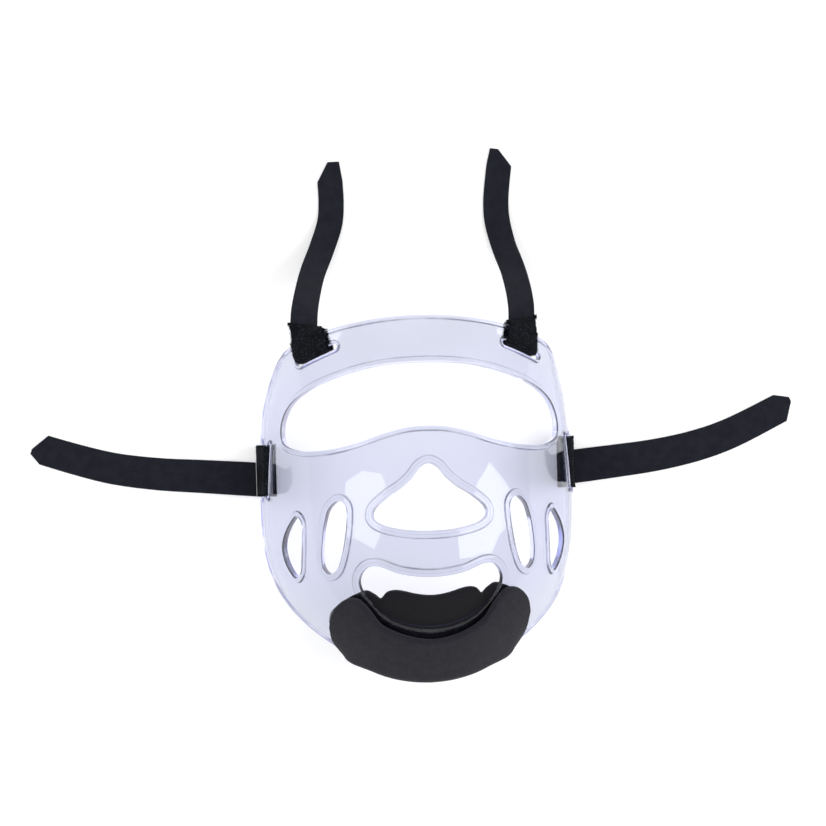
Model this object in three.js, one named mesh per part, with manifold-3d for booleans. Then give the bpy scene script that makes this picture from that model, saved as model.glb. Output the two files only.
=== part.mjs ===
// A taekwondo face mask: a clear moulded face shield lying on its side edges, with a
// foam chin pad and four hook-and-loop straps on folded tape loops.
// Millimetres. +Z is out of the face, +Y towards the forehead, +X to the right of a
// viewer who looks at the front. The surface that the mask lies on is Z = 0.
import * as THREE from 'three';
import { mergeVertices } from 'three/addons/utils/BufferGeometryUtils.js';
import Module from 'manifold-3d';

const wasm = await Module();
wasm.setup();

// ---------------------------------------------------------------- driving sizes
const WALL = 2.4; // thickness of the moulded shell
const BEAD_RISE = 0.9; // height of the bead over the shell's face
const GAP = 0.3; // clearance between neighbouring flat pieces
const CURVED_GAP = 0.7; // the same beside the shell's curved faces
const SHOULDER = 0.08; // how much lower than an ellipse the cross-section's shoulders are
const SIDE_SWEEP = 1.5; // how sharply a row of the shell turns from its crown to its edge
const FOAM = 4.2; // thickness of the chin pad's foam
const TAPE = 1.4; // thickness of the straps and of the tape of their loops
const SIDE_STRAP_WIDTH = { root: 20.6, end: 17.9 };
const SIDE_TAB_WIDTH = 29.5;
const TOP_STRAP_WIDTH = { root: 16.2, end: 15.2 };
const TOP_TAB_WIDTH = { slot: 19.4, root: 18.2 };
const TOP_TAB_SHIFT = -1.2; // X of both top loops beside the middles of their slots

// Control rows of the shell's surface, from the forehead edge to the chin edge. A row
// runs from its crown on the middle line to the shell's edge at each side.
const ROWS = [
  { crownY: 110, crownZ: 65, edgeY: 91, halfWidth: 80, edgeZ: 27 },
  { crownY: 92, crownZ: 71, edgeY: 73, halfWidth: 87.5, edgeZ: 8 },
  { crownY: 70, crownZ: 77, edgeY: 56, halfWidth: 92, edgeZ: 0 },
  { crownY: 44, crownZ: 85, edgeY: 36, halfWidth: 93.2, edgeZ: 0 },
  { crownY: 15, crownZ: 94, edgeY: 14, halfWidth: 94, edgeZ: 0 },
  { crownY: -15, crownZ: 98, edgeY: -9, halfWidth: 94, edgeZ: 0 },
  { crownY: -42, crownZ: 95, edgeY: -27, halfWidth: 92.4, edgeZ: 0 },
  { crownY: -68, crownZ: 85, edgeY: -38, halfWidth: 89.6, edgeZ: 0 },
  { crownY: -96.4, crownZ: 60, edgeY: -44.8, halfWidth: 86.2, edgeZ: 6 },
];
// The forehead corners are round: where the rounding starts, in radians from the side
// edge, and how far it reaches down that edge, in v.
const CORNER = { angle: 0.42, v: 0.09 };
// Width of the raised bead round each kind of opening.
const BEAD = { eye: 3.2, nose: 4.4, mouth: 4.4, inner: 4, outer: 3.4, strap: 1.8 };

// Openings of the shell, as seen from the front. Each is half an outline, from its top
// on the middle line to its bottom, and is mirrored.
const EYE_OPENING = [
  [0, 82.3], [27, 80.6], [49, 75.2], [66, 68], [76, 59.5], [80.6, 48], [79.5, 38],
  [71, 33.6], [56, 33.6], [40, 36.8], [24, 42], [11, 45], [0, 45.6],
];
const NOSE_VENT = [
  [0, 24.3], [4.5, 22.2], [9.5, 16.2], [15.5, 11], [24, 5.5], [31.5, -1.5], [32, -6],
  [28, -9.4], [15, -12.8], [0, -13.8],
];
const MOUTH_OPENING = [
  [0, -40], [18, -37.8], [31, -33.2], [36.5, -34.4], [40.3, -40.5], [39.6, -46.5],
  [34, -54.5], [24, -63.4], [12, -68.4], [0, -69.8],
];
// Whole outlines of the right-hand slots.
const INNER_SLOT = [
  [51, 4], [55.8, 0], [58.6, -8], [60, -18], [60.6, -28], [59.6, -34.6], [56.6, -37.4],
  [53, -35], [50, -27], [48, -17], [46.8, -7], [47.2, 1],
];
const OUTER_SLOT = [
  [74.2, -4.6], [77.4, -8.6], [80.4, -15], [81.8, -22.5], [80.6, -30], [77.8, -36.4],
  [75, -39.8], [72.8, -37], [72, -28], [71.6, -17], [71.8, -8],
];

// The slot of a top strap: its middle, half its length and width, and its slope.
const TOP_SLOT = { x: 59.8, y: 89, halfLength: 12.4, halfWidth: 1.9, slope: -23 };
// The slot of a side strap, through the upright side wall.
const SIDE_SLOT = { y: 22.5, halfLength: 16.2, low: 24, high: 27 };
const SIDE_NOTCH = 12; // how far the edge under a side loop is cut away
const SIDE_TAB_FACE = 96.4; // X of the outer face of a side loop, at its foot

// ------------------------------------------------------------ the shell's surface

/** Value of a column of ROWS at v, 0 at the forehead edge and 1 at the chin edge: a
 * uniform cubic B-spline, carried on straight past both ends. */
function along(column, v) {
  const last = ROWS.length - 1;
  const t = v * last;
  const value = (i) => {
    if (i < 0) return 2 * ROWS[0][column] - ROWS[1][column];
    if (i > last) return 2 * ROWS[last][column] - ROWS[last - 1][column];
    return ROWS[i][column];
  };
  if (t < 0) return value(0) + t * (value(1) - value(0));
  if (t > last) return value(last) + (t - last) * (value(last) - value(last - 1));
  const i = Math.min(Math.floor(t), last - 1);
  const f = t - i;
  const weights = [
    (1 - f) ** 3,
    3 * f ** 3 - 6 * f ** 2 + 4,
    -3 * f ** 3 + 3 * f ** 2 + 3 * f + 1,
    f ** 3,
  ];
  return weights.reduce((sum, w, k) => sum + (w * value(i - 1 + k)) / 6, 0);
}

/** Point of the shell's outer face. The angle runs across, from -90 to 90 degrees. */
function shellPoint(angle, v) {
  const sine = Math.sin(angle);
  const cosine = Math.cos(angle);
  const edgeY = along('edgeY', v);
  const edgeZ = along('edgeZ', v);
  const rise = (along('crownZ', v) - edgeZ) * cosine * (1 - SHOULDER * sine ** 2);
  const sweep = Math.max(cosine, 0) ** SIDE_SWEEP;
  return new THREE.Vector3(
    along('halfWidth', v) * sine,
    edgeY + (along('crownY', v) - edgeY) * sweep,
    edgeZ + rise,
  );
}

/** Outward normal of the shell's outer face. */
function shellNormal(angle, v) {
  const step = 1e-3;
  const across = shellPoint(angle + step, v).sub(shellPoint(angle - step, v));
  const down = shellPoint(angle, v + step).sub(shellPoint(angle, v - step));
  return down.cross(across).normalize();
}

/** Point raised off the shell's outer face along its normal. */
function raised(angle, v, height) {
  return shellPoint(angle, v).addScaledVector(shellNormal(angle, v), height);
}

/** The angle and v of the place on the shell that is seen at x, y from the front. */
function placeAt(x, y) {
  let top = -0.4;
  let bottom = 1.3;
  const angleAt = (v) => Math.asin(THREE.MathUtils.clamp(x / along('halfWidth', v), -1, 1));
  for (let i = 0; i < 40; i += 1) {
    const v = (top + bottom) / 2;
    if (shellPoint(angleAt(v), v).y > y) top = v;
    else bottom = v;
  }
  return { angle: angleAt(top), v: top };
}

// ------------------------------------------------------------------ mesh helpers

/** A closed geometry from points and triangles of their indices. */
function geometryOf(points, triangles) {
  const geometry = new THREE.BufferGeometry();
  const flat = points.flatMap((p) => [p.x, p.y, p.z]);
  geometry.setAttribute('position', new THREE.Float32BufferAttribute(flat, 3));
  geometry.setIndex(triangles);
  return geometry;
}

/** Turns a closed geometry whose faces point in inside out. */
function facingOut(geometry) {
  const p = geometry.getAttribute('position');
  const index = geometry.getIndex().array;
  const corner = [0, 1, 2].map(() => new THREE.Vector3());
  let volume = 0;
  for (let i = 0; i < index.length; i += 3) {
    corner.forEach((c, k) => c.fromBufferAttribute(p, index[i + k]));
    volume += corner[0].dot(corner[1].clone().cross(corner[2]));
  }
  if (volume < 0) {
    for (let i = 0; i < index.length; i += 3) {
      [index[i], index[i + 1]] = [index[i + 1], index[i]];
    }
  }
  return geometry;
}

/** Two triangles for the quad between two places of two neighbouring loops. */
function quad(a, b, c, d) {
  return [a, b, c, a, c, d];
}

/** Triangles, as triples of indices, that fill a loop. They turn the way it does. */
function filling(loop) {
  const normal = new THREE.Vector3();
  loop.forEach((p, i) => normal.add(p.clone().cross(loop[(i + 1) % loop.length])));
  normal.normalize();
  const uAxis = new THREE.Vector3().subVectors(loop[1], loop[0]).projectOnPlane(normal);
  uAxis.normalize();
  const vAxis = new THREE.Vector3().crossVectors(normal, uAxis);
  const flat = loop.map((p) => new THREE.Vector2(p.dot(uAxis), p.dot(vAxis)));
  return THREE.ShapeUtils.triangulateShape(flat, []);
}

/** A solid skinned over closed loops of equal counts. Its last loop joins its first where
 * it is a ring, and otherwise both ends are filled. */
function loft(loops, isRing = false) {
  const count = loops[0].length;
  const triangles = [];
  const strips = isRing ? loops.length : loops.length - 1;
  for (let i = 0; i < strips; i += 1) {
    const near = i * count;
    const far = ((i + 1) % loops.length) * count;
    for (let j = 0; j < count; j += 1) {
      const next = (j + 1) % count;
      triangles.push(...quad(near + j, near + next, far + next, far + j));
    }
  }
  if (!isRing) {
    const last = (loops.length - 1) * count;
    for (const [a, b, c] of filling(loops[0])) triangles.push(a, c, b);
    for (const [a, b, c] of filling(loops.at(-1))) triangles.push(last + a, last + b, last + c);
  }
  return facingOut(geometryOf(loops.flat(), triangles));
}

/** The same geometry with its shared vertices merged. */
function joined(geometry) {
  const bare = geometry.clone();
  bare.deleteAttribute('normal');
  bare.deleteAttribute('uv');
  return mergeVertices(bare, 1e-5);
}

/** The manifold solid of a closed geometry. */
function solid(geometry) {
  const merged = joined(geometry);
  return new wasm.Manifold(new wasm.Mesh({
    numProp: 3,
    vertProperties: new Float32Array(merged.getAttribute('position').array),
    triVerts: new Uint32Array(merged.getIndex().array),
  }));
}

/** The geometry of a manifold solid. */
function geometryFrom(manifold) {
  const mesh = manifold.getMesh();
  const geometry = new THREE.BufferGeometry();
  geometry.setAttribute('position', new THREE.Float32BufferAttribute(mesh.vertProperties, 3));
  geometry.setIndex(Array.from(mesh.triVerts));
  geometry.computeVertexNormals();
  return geometry;
}

/** A box between two corners. */
function box(low, high) {
  const size = new THREE.Vector3().subVectors(high, low);
  const middle = new THREE.Vector3().addVectors(high, low).multiplyScalar(0.5);
  return new THREE.BoxGeometry(size.x, size.y, size.z).translate(...middle);
}

// ------------------------------------------------------------- outlines on the shell

/** Evenly spaced points of a smooth closed outline through the given ones. */
function smoothOutline(corners, count) {
  const curve = new THREE.CatmullRomCurve3(
    corners.map(([x, y]) => new THREE.Vector3(x, y, 0)), true, 'centripetal',
  );
  return curve.getSpacedPoints(count).slice(0, count).map((p) => [p.x, p.y]);
}

/** The closed outline of an opening of which the right half is given. */
function mirrored(half) {
  const left = half.slice(1, -1).reverse().map(([x, y]) => [-x, y]);
  return [...half, ...left];
}

/** The same outline on the other side of the mask. */
function otherSide(outline) {
  return outline.map(([x, y]) => [-x, y]).reverse();
}

/** Outline of a top strap's slot: a bar with round ends. */
function topSlotOutline() {
  const { x, y, halfLength, halfWidth, slope } = TOP_SLOT;
  const turn = THREE.MathUtils.degToRad(slope);
  const points = [];
  for (const [end, from] of [[1, -90], [-1, 90]]) {
    for (let step = 0; step <= 4; step += 1) {
      const a = THREE.MathUtils.degToRad(from + step * 45);
      const u = end * (halfLength - halfWidth) + halfWidth * Math.cos(a);
      const w = halfWidth * Math.sin(a);
      points.push([
        x + u * Math.cos(turn) - w * Math.sin(turn),
        y + u * Math.sin(turn) + w * Math.cos(turn),
      ]);
    }
  }
  return points;
}

/** Places on the shell of an outline that is moved outwards, along the shell, by a
 * distance. */
function placesBeside(outline, distance) {
  const area = outline.reduce((sum, [x, y], i) => {
    const [nx, ny] = outline[(i + 1) % outline.length];
    return sum + x * ny - nx * y;
  }, 0);
  const places = outline.map(([x, y]) => placeAt(x, y));
  const spots = places.map(({ angle, v }) => shellPoint(angle, v));
  return places.map(({ angle, v }, i) => {
    const before = spots[(i + spots.length - 1) % spots.length];
    const after = spots[(i + 1) % spots.length];
    const run = new THREE.Vector3().subVectors(after, before);
    const out = run.cross(shellNormal(angle, v)).normalize();
    const reach = distance * Math.sign(area);
    return placeAt(spots[i].x + out.x * reach, spots[i].y + out.y * reach);
  });
}

/** One loop over an outline, beside it by a distance and raised by a height. */
function loopOver(outline, distance, height) {
  return placesBeside(outline, distance).map(({ angle, v }) => raised(angle, v, height));
}

/** Solid that cuts an outline out of the shell, square to its face. It goes on straight
 * up to a flat top, clear of the crown. */
function cutter(outline) {
  const reach = 4;
  const top = 140;
  const inner = loopOver(outline, 0, -WALL - reach);
  const outer = loopOver(outline, 0, BEAD_RISE + reach);
  const loops = [inner, outer, outer.map(({ x, y }) => new THREE.Vector3(x, y, top))];
  const count = outline.length;
  const flat = outline.map(([x, y]) => new THREE.Vector2(x, y));
  const triangles = [];
  for (let j = 0; j < count; j += 1) {
    const next = (j + 1) % count;
    for (const near of [0, count]) {
      triangles.push(...quad(near + j, near + next, near + count + next, near + count + j));
    }
  }
  const flip = THREE.ShapeUtils.isClockWise(flat);
  for (const [a, b, c] of THREE.ShapeUtils.triangulateShape(flat, [])) {
    const [p, q, r] = flip ? [a, c, b] : [a, b, c];
    triangles.push(p, r, q, 2 * count + p, 2 * count + q, 2 * count + r);
  }
  return facingOut(geometryOf(loops.flat(), triangles));
}

/** Raised bead of a width round an outline. */
function bead(outline, width) {
  const overlap = 1;
  return loft([
    loopOver(outline, -overlap, -WALL / 2),
    loopOver(outline, -overlap, BEAD_RISE),
    loopOver(outline, width, BEAD_RISE),
    loopOver(outline, width, -WALL / 2),
  ], true);
}

// ------------------------------------------------------------------------- shield

/** Steps from 0 to 1 with extra lines at the beads of both ends. */
function steps(count, beadShare) {
  const slope = beadShare * 0.25;
  const inside = beadShare + slope;
  const list = [0, beadShare];
  for (let i = 0; i <= count; i += 1) list.push(inside + ((1 - 2 * inside) * i) / count);
  return [...list, 1 - beadShare, 1];
}

/** The v of the shell's upper edge at an angle: a quarter ellipse at each corner. */
function upperEdge(angle) {
  const t = Math.max(0, 1 - (Math.PI / 2 - Math.abs(angle)) / CORNER.angle);
  return CORNER.v * (1 - Math.sqrt(Math.max(0, 1 - t * t)));
}

/** The uncut shell: two faces of a grid, closed all round, thicker at its edges. */
function blankShell() {
  const across = steps(24, 0.0115);
  const down = steps(18, 0.0145);
  const isBead = (list, i) => i < 2 || i > list.length - 3;
  const points = [];
  for (const face of ['outer', 'inner']) {
    down.forEach((v, row) => across.forEach((u, column) => {
      const atBead = isBead(down, row) || isBead(across, column);
      const height = face === 'outer' ? (atBead ? BEAD_RISE : 0) : -WALL;
      const angle = (u - 0.5) * Math.PI;
      points.push(raised(angle, THREE.MathUtils.lerp(upperEdge(angle), 1, v), height));
    }));
  }
  const columns = across.length;
  const size = columns * down.length;
  const triangles = [];
  for (let row = 0; row < down.length - 1; row += 1) {
    for (let column = 0; column < columns - 1; column += 1) {
      const a = row * columns + column;
      const b = a + 1;
      const c = b + columns;
      const d = a + columns;
      triangles.push(...quad(a, d, c, b));
      triangles.push(...quad(size + a, size + b, size + c, size + d));
    }
  }
  const rim = [];
  for (let column = 0; column < columns - 1; column += 1) rim.push(column);
  for (let row = 0; row < down.length - 1; row += 1) rim.push(row * columns + columns - 1);
  for (let column = columns - 1; column > 0; column -= 1) {
    rim.push((down.length - 1) * columns + column);
  }
  for (let row = down.length - 1; row > 0; row -= 1) rim.push(row * columns);
  rim.forEach((a, i) => {
    const b = rim[(i + 1) % rim.length];
    triangles.push(...quad(a, b, size + b, size + a));
  });
  return facingOut(geometryOf(points, triangles));
}

/** The face shield: the shell with its openings, slots and beads. */
function shield() {
  const right = [
    [smoothOutline(INNER_SLOT, 26), BEAD.inner],
    [smoothOutline(OUTER_SLOT, 26), BEAD.outer],
    [topSlotOutline(), BEAD.strap],
  ];
  const outlines = [
    [smoothOutline(mirrored(EYE_OPENING), 62), BEAD.eye],
    [smoothOutline(mirrored(NOSE_VENT), 40), BEAD.nose],
    [smoothOutline(mirrored(MOUTH_OPENING), 44), BEAD.mouth],
    ...right,
    ...right.map(([outline, width]) => [otherSide(outline), width]),
  ];
  let body = solid(blankShell());
  for (const [outline, width] of outlines) body = body.add(solid(bead(outline, width)));
  for (const [outline] of outlines) body = body.subtract(solid(cutter(outline)));
  const reach = 20;
  const halfWidth = Math.max(...ROWS.map((row) => row.halfWidth));
  for (const side of [-1, 1]) {
    const span = { low: halfWidth - reach, high: halfWidth + reach };
    const [low, high] = [span.low * side, span.high * side].sort((a, b) => a - b);
    const y0 = SIDE_SLOT.y - SIDE_SLOT.halfLength;
    const y1 = SIDE_SLOT.y + SIDE_SLOT.halfLength;
    for (const [z0, z1] of [[SIDE_SLOT.low, SIDE_SLOT.high], [-reach, SIDE_NOTCH]]) {
      const hole = box(new THREE.Vector3(low, y0, z0), new THREE.Vector3(high, y1, z1));
      body = body.subtract(solid(hole));
    }
  }
  return geometryFrom(body);
}

// ----------------------------------------------------------------------- chin pad

// The pad is a folded sheet of foam. Each row is a section from its fold to its two upper
// edges, as degrees round the shell and v, from the middle to one end. The fold hangs
// beyond the shell's chin edge by a depth.
const PAD_ROWS = [
  { front: [0, 0.902], back: [0, 0.801], fold: 0, depth: 6.9 },
  { front: [3.5, 0.9], back: [3.5, 0.799], fold: 3.5, depth: 6.8 },
  { front: [7, 0.896], back: [7.5, 0.794], fold: 7, depth: 6.7 },
  { front: [10.5, 0.89], back: [11, 0.788], fold: 10.5, depth: 6.5 },
  { front: [13.5, 0.883], back: [14.5, 0.786], fold: 14, depth: 6.2 },
  { front: [16, 0.875], back: [17.5, 0.793], fold: 17, depth: 5.8 },
  { front: [18.5, 0.864], back: [20, 0.813], fold: 19.5, depth: 5.3 },
  { front: [20.5, 0.845], back: [22.5, 0.801], fold: 22, depth: 4.7 },
  { front: [23, 0.82], back: [26, 0.792], fold: 24.5, depth: 4.1 },
  { front: [26.7, 0.798], back: [31.2, 0.812], fold: 27.2, depth: 3.3 },
  { front: [31.6, 0.807], back: [36.7, 0.846], fold: 30, depth: 2.6 },
  { front: [36.2, 0.847], back: [41.2, 0.886], fold: 32, depth: 2.3 },
  { front: [38.4, 0.902], back: [42.6, 0.925], fold: 33, depth: 2.1 },
];
const PAD_TILT = 0.014; // how much higher the right end of the pad sits, in v
const PAD_SHIFT = 0.2; // how far the pad sits to the right, in degrees
const PAD_BULGE = 2.2; // how far each end of the pad bulges between fold and edge

/** A value of PAD_ROWS at a share of the way to one end, smoothed between the rows. */
function padValue(read, share) {
  const last = PAD_ROWS.length - 1;
  const t = Math.abs(share) * last;
  const i = Math.min(Math.floor(t), last - 1);
  const row = (k) => read(PAD_ROWS[THREE.MathUtils.clamp(k, 0, last)]);
  const curve = new THREE.CatmullRomCurve3(
    [i - 1, i, i + 1, i + 2].map((k) => new THREE.Vector3(k, row(k), 0)), false, 'catmullrom',
  );
  return curve.getPoint((1 + t - i) / 3).y;
}

/** The closed U-shaped section of the pad at a share of the way to one end, -1 to 1. */
function padSection(share) {
  const padAngle = (degrees) => THREE.MathUtils.degToRad(
    Math.sign(share) * degrees + PAD_SHIFT,
  );
  const bulge = Math.sign(share) * THREE.MathUtils.degToRad(PAD_BULGE) * share ** 8;
  const placeOf = (flap) => ({
    angle: padAngle(padValue((row) => row[flap][0], share)),
    v: padValue((row) => row[flap][1], share) - PAD_TILT * share * Math.abs(share),
  });
  const foot = padAngle(padValue((row) => row.fold, share));
  const depth = padValue((row) => row.depth, share);
  const front = placeOf('front');
  const back = placeOf('back');
  const between = (from, f, height) => raised(
    THREE.MathUtils.lerp(from.angle, foot, f) + bulge * Math.sin(Math.PI * f),
    THREE.MathUtils.lerp(from.v, 1, f), height,
  );
  const frontIn = BEAD_RISE + CURVED_GAP;
  const backIn = -WALL - CURVED_GAP;
  const edge = raised(foot, 1, -WALL / 2);
  const out = shellNormal(foot, 1);
  const down = shellPoint(foot, 1.01).sub(shellPoint(foot, 0.99)).normalize();
  const round = (degrees, middle, halfThick, reach) => {
    const a = THREE.MathUtils.degToRad(degrees);
    return edge.clone()
      .addScaledVector(out, middle + halfThick * Math.cos(a))
      .addScaledVector(down, reach * Math.sin(a));
  };
  // The foam is pressed thinner along the fold's ends.
  const pressed = FOAM * THREE.MathUtils.lerp(0.3, 1, depth / PAD_ROWS[0].depth);
  const middle = WALL / 2 + (frontIn + backIn) / 2;
  const slit = (frontIn - backIn) / 2;
  const loop = [];
  loop.push(between(front, 0, frontIn), between(front, 0, frontIn + FOAM * 0.6));
  loop.push(between(front, 0.08, frontIn + FOAM), between(front, 0.5, frontIn + FOAM));
  loop.push(between(front, 0.97, frontIn + pressed));
  for (const a of [25, 60, 90, 120, 155]) {
    loop.push(round(a, middle, slit + pressed, depth));
  }
  loop.push(between(back, 0.98, backIn - pressed));
  for (const f of [0.5, 0.06]) loop.push(between(back, f, backIn - FOAM));
  loop.push(between(back, 0, backIn - FOAM * 0.6), between(back, 0, backIn));
  for (const f of [0.5, 0.98]) loop.push(between(back, f, backIn));
  const hollow = Math.max(depth - FOAM, CURVED_GAP);
  for (const a of [150, 90, 30]) loop.push(round(a, middle, slit, hollow));
  for (const f of [0.97, 0.72, 0.48, 0.24]) loop.push(between(front, f, frontIn));
  return loop;
}

/** The foam chin pad. */
function chinPad() {
  const count = 36;
  const loops = [];
  for (let i = 0; i <= count; i += 1) loops.push(padSection((2 * i) / count - 1));
  return loft(loops);
}

// ------------------------------------------------------------------ straps and tabs

/** A flat tape through stations of a middle point, an across direction, a half width
 * and an up direction. */
function tape(stations, thickness) {
  return loft(stations.map(({ middle, across, up, halfWidth }) => {
    const corner = (side, level) => middle.clone()
      .addScaledVector(across, side * halfWidth)
      .addScaledVector(up, (level * thickness) / 2);
    return [corner(-1, -1), corner(1, -1), corner(1, 1), corner(-1, 1)];
  }));
}

/** A strap along a route of rows { x, y, z, roll }, with a cut tip. */
function strap(route, width, tip) {
  const count = 26;
  const path = new THREE.CatmullRomCurve3(
    route.map(({ x, y, z }) => new THREE.Vector3(x, y, z)), false, 'centripetal',
  );
  const length = path.getLength();
  const stations = [];
  const places = [];
  for (let i = 0; i <= count; i += 1) places.push((i / count) * (1 - tip.length / length));
  places.push(1);
  places.forEach((u) => {
    const run = path.getTangentAt(u);
    const t = path.getUtoTmapping(u) * (route.length - 1);
    const i = Math.min(Math.floor(t), route.length - 2);
    const roll = THREE.MathUtils.lerp(route[i].roll, route[i + 1].roll, t - i);
    const level = new THREE.Vector3(0, 0, 1).cross(run).normalize();
    const across = level.applyAxisAngle(run, THREE.MathUtils.degToRad(roll));
    const up = new THREE.Vector3().crossVectors(run, across).normalize();
    let halfWidth = (u === 1 ? tip.width : THREE.MathUtils.lerp(width.root, width.end, u)) / 2;
    const middle = path.getPointAt(u).addScaledVector(across, u === 1 ? tip.offset : 0);
    if (u === 0 && level.z === 0 && roll === 0) {
      // The root of a side strap is cut along the loop beside it, which runs along Y.
      halfWidth /= Math.abs(across.y);
      across.set(0, Math.sign(across.y), 0);
    }
    middle.z = Math.max(middle.z, LEVEL * up.z + halfWidth * Math.abs(across.z));
    stations.push({ middle, across, up, halfWidth });
  });
  return tape(stations, TAPE);
}

const LEVEL = TAPE / 2; // height of the middle of a strap that lies on the surface

// Routes of the straps' middle lines, root first. Roll turns a strap about its run.
const SIDE_ROUTES = {
  left: [
    { x: -96.7, y: 17.5, z: LEVEL, roll: 0 },
    { x: -128, y: 20.2, z: LEVEL, roll: 0 },
    { x: -156, y: 22.6, z: LEVEL, roll: 0 },
    { x: -182, y: 26.7, z: LEVEL, roll: 0 },
    { x: -203, y: 32.5, z: LEVEL, roll: 0 },
    { x: -229.5, y: 41.2, z: LEVEL, roll: 0 },
  ],
  right: [
    { x: 96.7, y: 19.5, z: LEVEL, roll: 0 },
    { x: 123.6, y: 22.2, z: LEVEL, roll: 0 },
    { x: 147.5, y: 25, z: LEVEL, roll: 0 },
    { x: 172, y: 29.8, z: LEVEL, roll: 0 },
    { x: 193, y: 36.4, z: LEVEL, roll: 0 },
    { x: 233, y: 54.9, z: LEVEL, roll: 0 },
  ],
};
const TOP_ROUTES = {
  left: [
    { x: -66.6, y: 106.6, z: 42, roll: 8 },
    { x: -65.9, y: 114.6, z: 38.5, roll: 10 },
    { x: -63.6, y: 126, z: 29.8, roll: 15 },
    { x: -59.6, y: 140, z: 17.5, roll: 17 },
    { x: -53.1, y: 156, z: 6, roll: 12 },
    { x: -47.7, y: 172, z: 1.6, roll: 4 },
    { x: -46.6, y: 184, z: LEVEL, roll: 0 },
    { x: -46.9, y: 196, z: LEVEL, roll: 0 },
    { x: -47.2, y: 208.6, z: LEVEL, roll: 0 },
  ],
  right: [
    { x: 61.9, y: 107.5, z: 42, roll: -28 },
    { x: 62.4, y: 115, z: 38.5, roll: -27 },
    { x: 62.2, y: 126, z: 29.8, roll: -29 },
    { x: 60.6, y: 140, z: 17.5, roll: -32 },
    { x: 57, y: 155, z: 7, roll: -28 },
    { x: 54, y: 171, z: 3, roll: -12 },
    { x: 53.9, y: 183, z: 1.1, roll: -2 },
    { x: 55.3, y: 196, z: LEVEL, roll: 0 },
    { x: 58, y: 214.3, z: LEVEL, roll: 0 },
  ],
};
// How each strap is cut at its end: the length of the cut, and the width and the offset
// across of what is left at the tip.
const TIPS = {
  side_strap_left: { length: 7, width: 3, offset: 3 },
  side_strap_right: { length: 8, width: 3, offset: 2 },
  top_strap_left: { length: 12, width: 7, offset: -2.6 },
  top_strap_right: { length: 9.5, width: 5, offset: 4.2 },
};

/** X of the outer face of the side wall at a Y and a height. */
function sideWallX(y, z) {
  let [low, high] = [0, 1];
  for (let i = 0; i < 30; i += 1) {
    const v = (low + high) / 2;
    if (along('edgeY', v) > y) low = v;
    else high = v;
  }
  const crown = along('crownZ', low);
  let cosine = z / crown;
  for (let i = 0; i < 8; i += 1) cosine = z / (crown * (1 - SHOULDER * (1 - cosine ** 2)));
  return along('halfWidth', low) * Math.sqrt(1 - cosine ** 2);
}

/** A side loop: wide tape that goes through the side slot and round the bar below it,
 * and follows the slope of the wall down to its strap. */
function sideTab(side) {
  const ends = [-1, 0, 1].map((end) => SIDE_SLOT.y + end * SIDE_SLOT.halfLength);
  const wall = (pick, z) => pick(...ends.map((y) => sideWallX(y, z)));
  const inside = WALL + 1.4 * CURVED_GAP;
  const top = SIDE_SLOT.low + CURVED_GAP;
  const foot = SIDE_TAB_FACE - TAPE;
  const hollow = [
    [foot, TAPE],
    [wall(Math.max, SIDE_NOTCH) + CURVED_GAP, SIDE_NOTCH + CURVED_GAP],
    [wall(Math.max, SIDE_SLOT.low) + CURVED_GAP, top],
    [wall(Math.min, SIDE_SLOT.low) - inside, top],
    [wall(Math.min, SIDE_NOTCH) - inside - CURVED_GAP, TAPE],
  ].map(([x, z]) => new THREE.Vector2(x, z));
  // Each corner of the outside lies where the two moved sides meet, a little rounded off.
  const outside = hollow.flatMap((corner, i) => {
    const before = hollow[(i + hollow.length - 1) % hollow.length];
    const after = hollow[(i + 1) % hollow.length];
    const outOf = (a, b) => new THREE.Vector2(b.y - a.y, a.x - b.x).normalize();
    const [first, second] = [outOf(before, corner), outOf(corner, after)];
    const between = first.clone().add(second).normalize();
    return [first, between, second].map((way) => (
      corner.clone().addScaledVector(way, TAPE)
    ));
  });
  const profile = new THREE.Shape(outside);
  profile.holes.push(new THREE.Path([...hollow].reverse()));
  const body = new THREE.ExtrudeGeometry(profile, {
    depth: SIDE_TAB_WIDTH, bevelEnabled: false,
  });
  body.rotateX(Math.PI / 2).translate(0, SIDE_SLOT.y + SIDE_TAB_WIDTH / 2, 0);
  body.scale(side, 1, 1);
  return facingOut(joined(body));
}

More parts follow.
